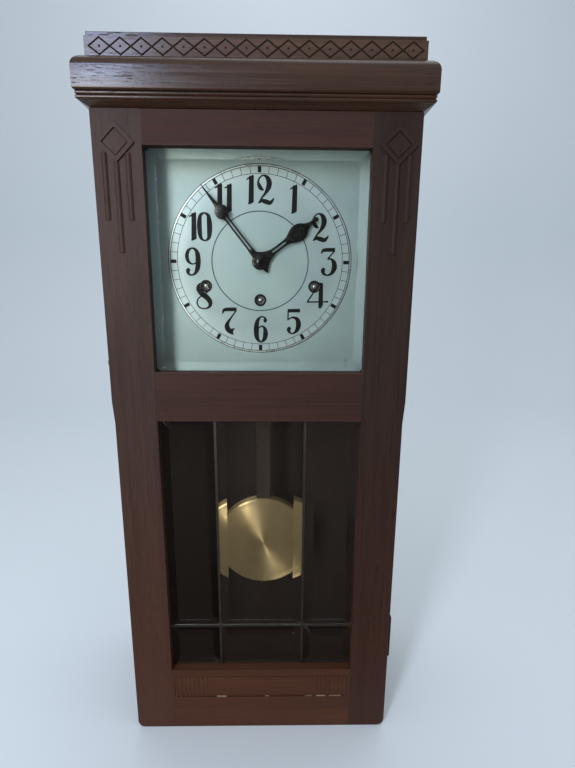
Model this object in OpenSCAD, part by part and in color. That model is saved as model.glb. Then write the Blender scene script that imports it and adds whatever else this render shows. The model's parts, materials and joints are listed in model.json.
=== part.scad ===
// Wall clock: a glazed oak door, a silvered dial, a three-train spring movement,
// a wooden pendulum rod with a brass bob, and a set of gong rods.
// Millimetres, +Z up. The origin is the middle of the base and the door faces -Y.
// A depth is measured backwards from the door's face.

/* [Case] */
// Width of the case above the step in its sides
case_w = 296; // [286:1:310]
// How far each side steps in below the middle rail
side_step = 1.7; // [0.5:0.1:4]
// Height where the step in the sides begins
step_z = 379; // [340:1:400]
// Height of the sloping part of the step
step_h = 23; // [5:1:40]
// Depth of the case from the door's face to its back
case_d = 165; // [160:1:190]
// Thickness of the side boards
side_t = 18; // [16:0.5:22]
// Thickness of the base board
base_t = 14; // [10:0.5:20]
// Thickness of the back board
back_t = 12; // [11:0.5:14]
// Radius of the rounded lower corners
corner_r = 9; // [2:0.5:12]

/* [Cornice] */
// Height of the top board and its beaded edge
top_t = 10.8; // [9:0.1:14]
// How far the beads stand out from the case
bead_over = 8.2; // [6:0.1:10]
// Height of the sloping underside below the beads
cove_h = 4; // [2:0.1:6]
// Radius of each small bead
bead_r = 1.7; // [1:0.1:2]
// How far the large moulding stands out from the case
cornice_over = 9.8; // [9:0.1:12]
// Height of the flat face of the large moulding
cornice_face_h = 17.9; // [14:0.1:22]
// Radius of the quarter round above the flat face
ovolo_r = 10.9; // [10:0.1:13]
// Radius of the large moulding's lower edge
cornice_edge_r = 2; // [1:0.1:4]
// Height of the frieze with its row of diamonds
frieze_h = 15.6; // [13:0.1:20]
// Thickness of the moulding strips behind the case's face
strip_t = 22; // [20:0.5:30]
// Number of diamonds cut in the front frieze
diamond_count = 16; // [12:1:20]
// Width of the cut lines of the diamonds
cut_w = 1; // [0.6:0.1:1.4]
// Thickness of the cap board
cap_t = 3.8; // [3:0.1:6]
// How far the cap board is set back from the frieze
cap_inset = 1.4; // [0.5:0.1:3]

/* [Door] */
// Thickness of the door
door_t = 22; // [21:0.5:26]
// Gap between the closed door and the case
door_gap = 0.3; // [0.2:0.1:0.6]
// Gap above and below the door
door_end_gap = 0.5; // [0.4:0.1:1.5]
// Width of the door's upright stiles
stile_w = 44.3; // [42:0.1:48]
// Height of the bottom rail
bottom_rail_h = 80; // [72:0.5:90]
// Height of the lower opening
lower_open_h = 301; // [290:1:310]
// Height of the middle rail
mid_rail_h = 51; // [44:0.5:60]
// Height of the upper opening
upper_open_h = 207; // [200:1:212]
// Height of the top rail
top_rail_h = 30; // [26:0.5:40]
// Thickness of the rails' tenons
tenon_t = 8; // [6:0.5:9]
// Length of the rails' tenons
tenon_len = 25; // [15:0.5:28]
// Width of the rebate that holds the glass
rebate_w = 6.5; // [5:0.1:7]
// Depth of the wood in front of the glass's edge
lip_t = 10; // [9:0.1:11]

/* [Carving] */
// Distance of each carved diamond's middle from the side of the case
ornament_inset = 21; // [20:0.5:23]
// Distance of the carved diamond below the top of the door
ornament_drop = 28; // [24:0.5:34]
// Half the width of the carved diamond
ornament_r = 17.3; // [14:0.1:18]
// Width of the diamond's raised border
border_w = 5.2; // [3:0.1:6]
// Width of the groove inside the border
groove_w = 1.3; // [0.8:0.1:2]
// How far the carving stands out
carve_h = 2; // [1:0.1:3]
// Radius of the hanging reeds
reed_r = 2.8; // [2:0.1:3.2]
// Distance between the reeds
reed_pitch = 10.7; // [8:0.1:11]
// Length of the outer reeds below the diamond's middle
reed_len = 66; // [50:1:80]
// Length of the middle reed below the diamond's middle
mid_reed_len = 95; // [80:1:120]
// Distance of the sunk band's ends from the stiles
band_inset = 2.7; // [1:0.1:12]
// Height of the sunk band's lower edge
band_z = 43; // [36:1:46]
// Height of the sunk band
band_h = 28; // [20:1:30]
// Depth of the sunk band
band_d = 0.8; // [0.4:0.1:1.5]
// Number of small reeds at each end of the band
band_reeds = 8; // [4:1:9]

/* [Glass] */
// Thickness of the glass inside its bevel
glass_t = 6; // [5:0.1:6.5]
// Thickness of the glass at its edge
glass_edge_t = 2; // [1.5:0.1:2.2]
// Width of the bevel that shows
bevel_w = 9.8; // [8:0.1:12]
// How far the glass goes into the rebate
glass_seat = 5.5; // [4:0.1:5.8]
// Distance of the upright metal strips from the middle
came_x = 47; // [40:0.5:55]
// Height of the level metal strip above the lower opening's edge
came_rise = 52; // [40:1:80]
// Width of the metal strips between the panes
came_w = 2.6; // [2:0.1:4]
// Thickness of the metal strips' faces
came_face_t = 0.7; // [0.5:0.1:1]

/* [Fittings] */
// Height of a hinge
hinge_h = 50; // [40:1:60]
// Width of a hinge leaf on the wood
hinge_leaf_w = 15; // [12:0.5:15.5]
// Thickness of a hinge leaf
hinge_leaf_t = 1.6; // [1.2:0.1:2]
// Radius of the hinge knuckles
knuckle_r = 3; // [2.6:0.1:3.6]
// Radius of the hinge pins
hinge_pin_r = 1.5; // [1.2:0.1:1.8]
// Height of the lower hinge's middle
low_hinge_z = 105; // [80:1:140]
// Height of the upper hinge's middle
high_hinge_z = 575; // [500:1:600]
// Height of the side latch
latch_z = 440; // [430:1:540]
// Distance from the latch hook's pivot to its stud
latch_len = 35; // [28:1:42]
// Radial clearance of turning fits
fit = 0.05; // [0.02:0.01:0.09]

/* [Dial and hands] */
// Height of the dial's centre
dial_z = 540; // [536:0.5:541]
// How far the square dial plate runs past each side of the opening
dial_over = 9.3; // [6:0.1:12]
// Thickness of the dial plate
dial_t = 1.2; // [0.8:0.1:2]
// Depth of the dial's face
dial_depth = 38; // [36:0.5:39]
// Length of the minute hand
minute_len = 93; // [84:0.5:94]
// Length of the hour hand
hour_len = 72; // [64:0.5:76]
// Radius of the hands' round middles
hand_hub_r = 8; // [6:0.1:9]
// Thickness of the hands
hand_t = 0.8; // [0.6:0.1:1]
// Angle of the minute hand, clockwise from the twelve
minute_angle = -38.4; // [-180:0.1:180]
// Angle of the hour hand, clockwise from the twelve
hour_angle = 53.7; // [-180:0.1:180]
// Distance of the outer winding holes from the middle
wind_x = 55.7; // [55:0.1:57]
// Distance of the outer winding holes below the centre
wind_drop = 24.4; // [22:0.1:26]
// Distance of the middle winding hole below the centre
time_drop = 38.4; // [38:0.1:39]
// Width across the flats of the winding squares
square_w = 3.6; // [3:0.1:4.5]

/* [Movement] */
// Depth of the front plate's face
plate_depth = 49; // [48.5:0.1:49.5]
// Thickness of the plates
plate_t = 2; // [1.6:0.1:2.2]
// Distance between the plates
plate_gap = 38; // [37.5:0.1:38.5]
// Width of the plates
plate_w = 168; // [164:1:176]
// Distance of the plates' lower edge below the dial's centre
plate_drop = 70; // [68:0.5:76]
// Distance of the plates' upper edge above the dial's centre
plate_rise = 62; // [60:0.5:66]
// Radius of the pillars between the plates
pillar_r = 4; // [3:0.1:4.5]
// Radius of the spring barrels
barrel_r = 24; // [20:0.5:25]
// Radius of the barrel arbors
barrel_arbor_r = 3.5; // [3.2:0.1:4]
// Distance of the escape wheel's arbor below the anchor's
escape_drop = 20; // [19.6:0.1:20.4]
// Number of escape wheel teeth
escape_teeth = 36; // [30:1:42]
// Thickness of the seat board under the movement
seat_t = 12; // [10:0.5:16]

/* [Pendulum] */
// Distance of the pendulum's middle plane behind the movement
pend_behind = 9; // [8:0.5:13]
// Height of the pivot above the dial's centre
pivot_rise = 51; // [51:0.1:52]
// Distance from the pivot to the middle of the bob
pend_len = 400.7; // [390:0.1:408]
// Width of the pendulum rod
rod_w = 17.5; // [14:0.1:20]
// Thickness of the pendulum rod
rod_t = 7; // [5:0.1:8]
// Radius of the bob
bob_r = 60; // [50:0.5:66]
// Thickness of the bob
bob_t = 22; // [16:0.5:26]
// Radius of the rating screw
rating_r = 1.5; // [1.2:0.1:2]

/* [Gong] */
// Radius of the gong rods
gong_r = 1.3; // [1:0.1:1.6]
// Distance between the gong rods
gong_pitch = 9; // [7:0.1:10]
// Length of the shortest gong rod
gong_len = 150; // [120:1:170]

/* [Hidden] */
$fn = 64;

oak = [0.30, 0.21, 0.18];
oak_light = [0.36, 0.26, 0.22];
brass = [0.72, 0.60, 0.32];
steel = [0.62, 0.63, 0.66];
blued = [0.10, 0.11, 0.13];
silver = [0.72, 0.78, 0.78];
clear = [0.75, 0.85, 0.88, 0.35];

overall_d = case_d + cornice_over;
front_y = cornice_over - overall_d / 2;
side_depth = door_t + door_gap;
up_x = case_w / 2;
low_x = up_x - side_step;
in_x = up_x - side_t;
open_x = up_x - stile_w;
dial_w = 2 * (open_x + dial_over);
ornament_x = up_x - ornament_inset;
band_x = open_x - band_inset;
lower_z = bottom_rail_h;
mid_z = lower_z + lower_open_h;
upper_z = mid_z + mid_rail_h;
top_rail_z = upper_z + upper_open_h;
case_h = top_rail_z + top_rail_h;
cornice_z = case_h + top_t;
ovolo_z = cornice_z + cornice_face_h;
frieze_z = ovolo_z + sqrt(pow(ovolo_r, 2) - pow(ovolo_r - cornice_over, 2));
cap_z = frieze_z + frieze_h;
back_face = case_d - back_t;
ornament_z = case_h - ornament_drop;
pillar_x = plate_w / 2 - 10;
pillar_low = plate_drop - 8;
pillar_high = plate_rise - 8;

function depth_y(depth) = front_y + depth;

// Extrudes an outline drawn in x and z between two depths.
module deep(near, far)
    translate([0, depth_y(far), 0]) rotate([90, 0, 0]) linear_extrude(far - near) children();

// Extrudes an outline drawn in depth (negative to the front) and z along x.
module along_x(from, to)
    translate([to, front_y, 0]) rotate([90, 0, -90]) linear_extrude(to - from) children();

module box(x0, x1, near, far, z0, z1)
    translate([x0, depth_y(near), z0]) cube([x1 - x0, far - near, z1 - z0]);

// A round bar that runs from front to back.
module bar_y(x, z, r, near, far)
    translate([x, depth_y(near), z]) rotate([-90, 0, 0]) cylinder(r = r, h = far - near);

// A round bar that runs from left to right.
module bar_x(depth, z, r, x0, x1)
    translate([x0, depth_y(depth), z]) rotate([0, 90, 0]) cylinder(r = r, h = x1 - x0);

module both_sides() {
    children();
    mirror([1, 0, 0]) children();
}

// Wood screws with countersunk heads. The head lies flush at the given depth and the
// shank runs towards the front (way = -1) or the back (way = 1).
module screw_shape(x, z, depth, way, length, r, slack)
    translate([x, depth_y(depth), z]) rotate([-90 * way, 0, 0]) {
        cylinder(r = r + slack, h = length + slack);
        cylinder(r1 = 2 * r + slack, r2 = r + slack, h = r);
    }

module screw_slot(x, z, depth, way, r)
    translate([x, depth_y(depth), z]) cube([4 * r, 0.8, 0.7], center = true);

// Case boards
module corner_cut()
    difference() {
        translate([low_x - corner_r, -1]) square([corner_r + 1, corner_r + 1]);
        translate([low_x - corner_r, corner_r]) circle(corner_r);
    }

module edge_outline(inner, z0, z1)
    difference() {
        polygon([[inner, z0], [low_x, z0], [low_x, step_z], [up_x, step_z + step_h],
                 [up_x, z1], [inner, z1]]);
        corner_cut();
    }

dado_d = 5;
seat_z = dial_z - plate_drop - seat_t;
seat_near = dial_depth + dial_t + 1;
seat_far = plate_depth + 2 * plate_t + plate_gap + 2.5;

module side_board()
    difference() {
        deep(side_depth, case_d) edge_outline(in_x, 0, case_h);
        box(in_x - 1, in_x + dado_d, seat_near, seat_far, seat_z, seat_z + seat_t);
    }

latch_depth = door_t / 2 + latch_len;

module left_side() color(oak)
    difference() {
        mirror([1, 0, 0]) side_board();
        latch_screw_shank(fit);
    }

module right_side() color(oak)
    difference() {
        side_board();
        case_leaf_cuts();
        hinge_screws(side_depth, 1, fit);
    }

module base_board() color(oak)
    box(-in_x, in_x, side_depth, case_d, 0, base_t);

module back_board_blank() box(-in_x, in_x, back_face, case_d, base_t, cap_z);

module back_board() color(oak)
    difference() {
        back_board_blank();
        box(-hanger_w / 2, hanger_w / 2, case_d - hanger_t, case_d + 1,
            hanger_z - hanger_h / 2, hanger_z + hanger_h / 2);
        bar_y(0, hanger_z, hanger_pocket_r, case_d - hanger_pocket_d, case_d);
        hanger_screws(fit);
        gong_screws(fit);
    }

// The section of a moulding drawn as reach inwards and overhang outwards.
module bead_section(reach) {
    polygon([[-reach, case_h], [0, case_h], [bead_over - bead_r, case_h + cove_h],
             [bead_over - bead_r, cornice_z], [-reach, cornice_z]]);
    for (i = [0, 1])
        translate([bead_over - bead_r, case_h + cove_h + bead_r + i * 2 * bead_r])
            circle(bead_r);
}

module cornice_section(reach)
    difference() {
        union() {
            translate([-reach, cornice_z])
                square([reach + cornice_over, cornice_face_h]);
            translate([-reach, cornice_z]) square([reach, cap_z - cornice_z]);
            intersection() {
                translate([cornice_over - ovolo_r, ovolo_z]) circle(ovolo_r);
                translate([-1, ovolo_z]) square([ovolo_r + 1, ovolo_r]);
            }
        }
        difference() {
            translate([cornice_over - cornice_edge_r, cornice_z - 1])
                square([cornice_edge_r + 1, cornice_edge_r + 1]);
            translate([cornice_over - cornice_edge_r, cornice_z + cornice_edge_r])
                circle(cornice_edge_r);
        }
    }

// A board whose front and both ends carry the section, mitred at its corners.
module moulded_board(over)
    intersection() {
        along_x(-up_x - over, up_x + over) children(0);
        deep(-over, case_d) {
            translate([up_x, 0]) children(1);
            mirror([1, 0]) translate([up_x, 0]) children(1);
        }
    }

module top_board() color(oak)
    difference() {
        moulded_board(bead_over) {
            bead_section(case_d);
            bead_section(up_x);
        }
        back_board_blank();
    }

module cornice_ring()
    difference() {
        moulded_board(cornice_over) {
            cornice_section(case_d);
            cornice_section(up_x);
        }
        box(strip_t - up_x, up_x - strip_t, strip_t, case_d + 1, cornice_z - 1, cap_z + 1);
        back_board_blank();
    }

module mitre_region() {
    over = cornice_over + 1;
    translate([0, front_y, 0]) linear_extrude(cap_z + 1)
        polygon([[-up_x - over, -over], [up_x + over, -over],
                 [up_x - strip_t - 1, strip_t + 1], [strip_t + 1 - up_x, strip_t + 1]]);
}

diamond_run = case_w - 8;
diamond_pitch = diamond_run / diamond_count;
diamond_h = frieze_h - 2.6;
cut_overrun = 0.6;

// One straight V groove in the frieze's face, a little longer than from one point to another.
module frieze_cut(a, b)
    translate([a.x, front_y, a.y]) rotate([0, -atan2(b.y - a.y, b.x - a.x), 0])
        translate([-cut_overrun, 0, 0]) rotate([45, 0, 0])
            translate([0, -cut_w / 2, -cut_w / 2])
                cube([norm(b - a) + 2 * cut_overrun, cut_w, cut_w]);

// The row of diamonds is two sets of straight grooves that cross at the diamonds' sides.
module cornice_front() color(oak_light)
    difference() {
        intersection() {
            cornice_ring();
            mitre_region();
        }
        for (i = [0 : diamond_count], rise = [-1, 1]) {
            side = [i * diamond_pitch - diamond_run / 2, frieze_z + frieze_h / 2];
            run = [diamond_pitch, rise * diamond_h] / 2;
            frieze_cut(side - (i == 0 ? 0 : 1) * run, side + (i == diamond_count ? 0 : 1) * run);
        }
        for (i = [0 : diamond_count - 1])
            bar_y((i + 0.5) * diamond_pitch - diamond_run / 2, frieze_z + frieze_h / 2, cut_w,
                  -1, cut_w / 2);
    }

module cornice_return()
    difference() {
        intersection() {
            cornice_ring();
            box(0, up_x + cornice_over + 1, -cornice_over - 1, case_d, cornice_z, cap_z);
        }
        mitre_region();
    }

module cornice_left() color(oak_light) mirror([1, 0, 0]) cornice_return();

module cornice_right() color(oak_light) cornice_return();

module cap_board() color(oak_light)
    box(cap_inset - up_x, up_x - cap_inset, cap_inset, case_d, cap_z, cap_z + cap_t);

// Hanger plate, let in flush at the top of the back
hanger_w = 64;
hanger_h = 26;
hanger_t = 2;
hanger_z = cornice_z + 18;
hanger_hole_r = 5;
hanger_pocket_r = 9;
hanger_pocket_d = 8;
screw_r = 1.75;

module hanger_screws(slack)
    for (x = [-1, 1])
        screw_shape(x * (hanger_w / 2 - 8), hanger_z, case_d, -1, back_t - 2, screw_r, slack);

module hanger_plate() color(steel)
    difference() {
        box(-hanger_w / 2, hanger_w / 2, case_d - hanger_t, case_d,
            hanger_z - hanger_h / 2, hanger_z + hanger_h / 2);
        bar_y(0, hanger_z, hanger_hole_r, case_d - hanger_t - 1, case_d + 1);
        hanger_screws(fit);
    }

module gong_screws(slack)
    for (x = [-1, 1])
        screw_shape(x * gong_screw_x, gong_z + gong_block_h / 2, case_d, -1,
                    back_t + gong_block_d - 6, screw_r, slack);

seat_screw_len = seat_t + plate_drop - pillar_low - pillar_r + 7;

module seat_screws(slack)
    for (x = [-1, 1])
        translate([x * pillar_x, depth_y(plate_depth + plate_t + plate_gap / 2), seat_z]) {
            cylinder(r = screw_r + slack, h = seat_screw_len + slack);
            cylinder(r1 = 2 * screw_r + slack, r2 = screw_r + slack, h = screw_r);
        }

module case_screws() color(steel)
    difference() {
        union() {
            hanger_screws(0);
            gong_screws(0);
            seat_screws(0);
        }
        for (x = [-1, 1]) {
            screw_slot(x * (hanger_w / 2 - 8), hanger_z, case_d, -1, screw_r);
            screw_slot(x * gong_screw_x, gong_z + gong_block_h / 2, case_d, -1, screw_r);
        }
    }

module seat_board() color(oak)
    difference() {
        box(-in_x - dado_d, in_x + dado_d, seat_near, seat_far, seat_z, seat_z + seat_t);
        seat_screws(fit);
    }

// Door
tenon_d = 7;
tenon_shoulder = 9;

module tenon(z0, z1)
    both_sides() box(open_x, open_x + tenon_len, tenon_d, tenon_d + tenon_t,
                     z0 + tenon_shoulder, z1 - tenon_shoulder);

module rebate(z0, z1)
    box(-open_x - rebate_w, open_x + rebate_w, lip_t, door_t + 1,
        z0 - rebate_w, z1 + rebate_w);

module ornament() {
    core = ornament_r - border_w - groove_w;
    translate([ornament_x, 0, ornament_z]) {
        deep(-carve_h, 1) difference() {
            diamond(ornament_r);
            diamond(ornament_r - border_w);
        }
        deep(-carve_h * 0.8, 1) diamond(core);
    }
    for (i = [-1, 0, 1]) {
        length = i == 0 ? mid_reed_len : reed_len;
        top = ornament_r / 2;
        translate([ornament_x + i * reed_pitch, depth_y(reed_r - carve_h * 0.9),
                   ornament_z - length])
            cylinder(r = reed_r, h = length - (i == 0 ? ornament_r - 1 : top));
    }
}

module diamond(r) rotate(45) square(r * sqrt(2), center = true);

module stile()
    difference() {
        union() {
            deep(0, door_t) edge_outline(open_x, door_end_gap, case_h - door_end_gap);
            ornament();
        }
        rebate(lower_z, mid_z);
        rebate(upper_z, top_rail_z);
        tenon(door_end_gap, lower_z);
        tenon(mid_z, upper_z);
        tenon(top_rail_z, case_h - door_end_gap);
    }

module door_left_stile() color(oak_light)
    difference() {
        mirror([1, 0, 0]) stile();
        latch_stud_shank(fit);
    }

module door_right_stile() color(oak_light)
    difference() {
        stile();
        door_leaf_cuts();
        hinge_screws(door_t, -1, fit);
    }

module rail(z0, z1)
    difference() {
        union() {
            box(-open_x, open_x, 0, door_t, z0, z1);
            tenon(z0, z1);
        }
        children();
    }

module door_top_rail() color(oak)
    rail(top_rail_z, case_h - door_end_gap) rebate(upper_z, top_rail_z);

module door_mid_rail() color(oak)
    rail(mid_z, upper_z) {
        rebate(lower_z, mid_z);
        rebate(upper_z, top_rail_z);
    }

band_reed_pitch = 5;
band_reed_r = 1.8;

module door_bottom_rail() color(oak) {
    rail(door_end_gap, lower_z) {
        rebate(lower_z, mid_z);
        box(-band_x, band_x, -1, band_d, band_z, band_z + band_h);
    }
    for (side = [-1, 1], i = [0 : band_reeds - 1])
        translate([side * (band_x - 2 - i * band_reed_pitch), depth_y(band_reed_r + 0.1),
                   band_z])
            cylinder(r = band_reed_r, h = band_h);
}

glass_back = lip_t + glass_edge_t;

// The section of a pane from one edge (a) to the other (b). A flat border of its own width
// lies under the frame or the metal strip at each edge, and the bevel begins beside it.
function pane_line(a, b, low, high) =
    [[a, 0], [a, glass_edge_t], [a + low, glass_edge_t], [a + low + bevel_w, glass_t],
     [b - high - bevel_w, glass_t], [b - high, glass_edge_t], [b, glass_edge_t], [b, 0]];

// A flat-backed pane. The flats are those of its left, right, lower and upper edges.
module pane(x0, x1, z0, z1, flats)
    intersection() {
        translate([0, depth_y(glass_back), z0]) linear_extrude(z1 - z0)
            polygon([for (p = pane_line(x0, x1, flats[0], flats[1])) [p.x, -p.y]]);
        translate([0, glass_back, 0]) along_x(x0, x1)
            polygon([for (p = pane_line(z0, z1, flats[2], flats[3])) [p.y, p.x]]);
    }

module upper_glass() color(clear)
    pane(-open_x - glass_seat, open_x + glass_seat, upper_z - glass_seat,
         top_rail_z + glass_seat, [glass_seat, glass_seat, glass_seat, glass_seat]);

came_web = 0.9;
came_z = lower_z + came_rise;
glass_near = lip_t - 0.1;
came_far = glass_back + came_face_t + 0.1;

module lower_panes() color(clear) {
    gap = came_web / 2 + 0.2;
    flat = came_w / 2 - gap + 0.1;
    xs = [[-open_x - glass_seat, -came_x - gap], [-came_x + gap, came_x - gap],
          [came_x + gap, open_x + glass_seat]];
    zs = [[lower_z - glass_seat, came_z - gap], [came_z + gap, mid_z + glass_seat]];
    for (i = [0 : 2], j = [0, 1])
        pane(xs[i][0], xs[i][1], zs[j][0], zs[j][1],
             [i == 0 ? glass_seat : flat, i == 2 ? glass_seat : flat,
              j == 0 ? glass_seat : flat, j == 1 ? glass_seat : flat]);
}

module came_lattice(half, near, far, reach) {
    for (side = [-1, 1])
        box(side * came_x - half, side * came_x + half, near, far,
            lower_z - reach, mid_z + reach);
    box(-open_x - reach, open_x + reach, near, far, came_z - half, came_z + half);
}

module cames() color([0.35, 0.35, 0.34]) {
    came_lattice(came_w / 2, glass_near - came_face_t, glass_near, -0.1);
    came_lattice(came_web / 2, glass_near - came_face_t, came_far, -0.1);
    came_lattice(came_web / 2, lip_t, came_far, glass_seat);
    came_lattice(came_w / 2, came_far - came_face_t, came_far, glass_seat);
}

bead_far = door_t - 2;

module bead_frame(z0, z1, near) {
    outer = open_x + rebate_w;
    for (side = [-1, 1])
        box(side > 0 ? open_x : -outer, side > 0 ? outer : -open_x, near, bead_far, z0, z1);
    box(-outer, outer, near, bead_far, z0 - rebate_w, z0);
    box(-outer, outer, near, bead_far, z1, z1 + rebate_w);
}

module glazing_beads() color(oak) {
    bead_frame(lower_z, mid_z, came_far);
    bead_frame(upper_z, top_rail_z, glass_back);
}

// Hinges on the right, with their pins just outside the case
hinge_x = up_x + knuckle_r + 0.2;
hinge_depth = door_t + door_gap / 2;
leaf_gap = 0.1;
knuckle_gap = 0.2;
hinge_screw_r = 1.25;
hinge_screw_len = 11;
HINGES = [low_hinge_z, high_hinge_z];
function wood_x(z) = z > step_z + step_h ? up_x : low_x;

module leaf_plate(z, near, far)
    box(up_x - hinge_leaf_w, wood_x(z), near, far, z - hinge_h / 2, z + hinge_h / 2);

module leaf_tongue(near, far, z0, z1)
    box(low_x - 1, hinge_x, near, far, z0, z1);

module knuckle(z0, z1)
    translate([hinge_x, depth_y(hinge_depth), z0]) cylinder(r = knuckle_r, h = z1 - z0);

door_leaf_near = hinge_depth - leaf_gap - hinge_leaf_t;
case_leaf_near = hinge_depth + leaf_gap;
third = hinge_h / 6;

module door_leaf_cuts()
    for (z = HINGES)
        box(up_x - hinge_leaf_w, up_x + 1, door_leaf_near, door_t + 1,
            z - hinge_h / 2, z + hinge_h / 2);

module case_leaf_cuts()
    for (z = HINGES)
        box(up_x - hinge_leaf_w, up_x + 1, side_depth - 1, case_leaf_near + hinge_leaf_t,
            z - hinge_h / 2, z + hinge_h / 2);

module hinge_screws(depth, way, slack)
    for (z = HINGES, i = [-1, 0, 1])
        screw_shape(up_x - hinge_leaf_w / 2 - 1, z + i * 17, depth + way * 0.1, way,
                    hinge_screw_len, hinge_screw_r, slack);

module pin_bores(slack)
    for (z = HINGES)
        translate([hinge_x, depth_y(hinge_depth), z - hinge_h / 2 - 1])
            cylinder(r = hinge_pin_r + slack, h = hinge_h + 2);

module hinge_door_leaves() color(brass)
    difference() {
        for (z = HINGES) {
            leaf_plate(z, door_leaf_near, hinge_depth - leaf_gap);
            leaf_tongue(door_leaf_near, hinge_depth - leaf_gap, z - third, z + third);
            knuckle(z - third, z + third);
        }
        pin_bores(fit);
        hinge_screws(door_t, -1, fit);
    }

module hinge_case_leaves() color(brass)
    difference() {
        for (z = HINGES) {
            leaf_plate(z, case_leaf_near, case_leaf_near + hinge_leaf_t);
            for (end = [[z - hinge_h / 2, z - third - knuckle_gap],
                        [z + third + knuckle_gap, z + hinge_h / 2]]) {
                leaf_tongue(case_leaf_near, case_leaf_near + hinge_leaf_t, end[0], end[1]);
                knuckle(end[0], end[1]);
            }
        }
        pin_bores(fit);
        hinge_screws(side_depth, 1, fit);
    }

module hinge_pins() color(brass)
    for (z = HINGES)
        translate([hinge_x, depth_y(hinge_depth), z - hinge_h / 2]) {
            cylinder(r = hinge_pin_r, h = hinge_h + 0.1);
            translate([0, 0, hinge_h + 0.1]) cylinder(r = knuckle_r, h = 1.2);
            translate([0, 0, hinge_h + 2.9]) sphere(r = knuckle_r * 0.8);
        }

module slotted_hinge_screws(depth, way)
    difference() {
        hinge_screws(depth, way, 0);
        for (z = HINGES, i = [-1, 0, 1])
            screw_slot(up_x - hinge_leaf_w / 2 - 1, z + i * 17, depth + way * 0.1, way,
                       hinge_screw_r);
    }

module hinge_door_screws() color(brass) slotted_hinge_screws(door_t, -1);

module hinge_case_screws() color(brass) slotted_hinge_screws(side_depth, 1);

// Side latch: a brass hook that hangs from the case and swings up over a stud on the door
latch_screw_r = 1.5;
hook_t = 1.4;
hook_near = up_x + 0.7;
hook_r = 4;

module latch_screw_shank(slack)
    bar_x(latch_depth, latch_z, latch_screw_r + slack, -hook_near - hook_t - 0.3, -up_x + 10);

module latch_screw() color(brass) {
    latch_screw_shank(0);
    bar_x(latch_depth, latch_z, 2.6, -hook_near + 0.1, -up_x);
    difference() {
        bar_x(latch_depth, latch_z, 3.2, -hook_near - hook_t - 1.6, -hook_near - hook_t - 0.2);
        translate([-hook_near - hook_t - 1.6, depth_y(latch_depth), latch_z])
            cube([1.2, 0.7, 7], center = true);
    }
}

module latch_stud_shank(slack)
    bar_x(door_t / 2, latch_z, latch_screw_r + slack, -hook_near - hook_t - 1, -up_x + 8);

module latch_stud() color(brass) {
    latch_stud_shank(0);
    bar_x(door_t / 2, latch_z, 2.8, -hook_near - hook_t - 1.8, -hook_near - hook_t - 0.4);
}

module latch_hook() color(brass) {
    notch_r = latch_screw_r + 0.4;
    translate([0, latch_depth, latch_z])
        along_x(-hook_near - hook_t, -hook_near)
            difference() {
                union() {
                    circle(hook_r);
                    translate([-2.2, -latch_len]) square([4.4, latch_len]);
                    translate([-0.8, -latch_len]) circle(hook_r + 1);
                }
                circle(latch_screw_r + fit);
                translate([0, -latch_len]) circle(notch_r);
                translate([0, -latch_len - notch_r]) square([hook_r + 3, 2 * notch_r]);
            }
}

// Dial
WINDS = [[0, -time_drop], [-wind_x, -wind_drop], [wind_x, -wind_drop]];
FEET = [[-60, 50], [60, 50], [-60, -58], [60, -58]];
dial_hole_r = 4.6;
collet_r = 6.25;
foot_r = 3;
foot_pin_r = 1.45;

module dial_plate() color(silver)
    translate([0, 0, dial_z]) {
        deep(dial_depth, dial_depth + dial_t) difference() {
            square(dial_w, center = true);
            circle(dial_hole_r);
            for (wind = WINDS) translate(wind) circle(collet_r - 1);
        }
        for (foot = FEET) {
            bar_y(foot.x, foot.y, foot_r, dial_depth + dial_t, plate_depth);
            bar_y(foot.x, foot.y, foot_pin_r, plate_depth - 1, plate_depth + plate_t + 1.5);
        }
    }

module winding_collets() color([0.08, 0.08, 0.08])
    translate([0, 0, dial_z])
        for (wind = WINDS)
            difference() {
                union() {
                    bar_y(wind.x, wind.y, collet_r, dial_depth - 0.8, dial_depth);
                    bar_y(wind.x, wind.y, collet_r - 1 - fit, dial_depth - 0.8,
                          dial_depth + dial_t + 0.8);
                }
                bar_y(wind.x, wind.y, collet_r - 2, dial_depth - 2, dial_depth + dial_t + 2);
            }

// Hands, drawn pointing up
hour_depth = dial_depth - 4.6;
minute_depth = dial_depth - 7.4;
hour_pipe_r = 3.4;
cannon_pipe_r = 2.2;
hub_gap = 0.02;

// Extrudes each outline of a hand as one layer of sheet metal, turned to its angle.
module hand_sheet(near, angle)
    for (i = [0 : $children - 1])
        translate([0, 0, dial_z]) deep(near, near + hand_t) rotate(-angle) children(i);

// An outline and its mirror image, from the points of its right edge.
function mirrored(edge) =
    concat(edge, [for (i = [len(edge) - 1 : -1 : 0]) [-edge[i].x, edge[i].y]]);

// A blade with its long slot. The slot is given by half its width and its two ends.
module hand_blade(edge, slot)
    difference() {
        polygon(mirrored(edge));
        translate([-slot[0], slot[1]]) square([2 * slot[0], slot[2] - slot[1]]);
    }

// Right edges as parts of the hands' lengths. The hour hand has two pointed ears at its base.
HOUR_EDGE = [[0.11, -0.035], [0.194, -0.005], [0.194, 0.005], [0.125, 0.06], [0.075, 0.12],
             [0.05, 0.18], [0.043, 0.24], [0.043, 0.445], [0.058, 0.5], [0.086, 0.57],
             [0.115, 0.652], [0.104, 0.705], [0.067, 0.765], [0.034, 0.81], [0.025, 0.85],
             [0.021, 0.92], [0.02, 0.97]];
MINUTE_EDGE = [[0.036, 0.03], [0.036, 0.1], [0.033, 0.14], [0.0265, 0.17], [0.0265, 0.565],
               [0.05, 0.585], [0.07, 0.615], [0.0753, 0.648], [0.07, 0.68], [0.048, 0.705],
               [0.022, 0.725], [0.003, 1]];
hour_tip_r = 2.2;

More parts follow.
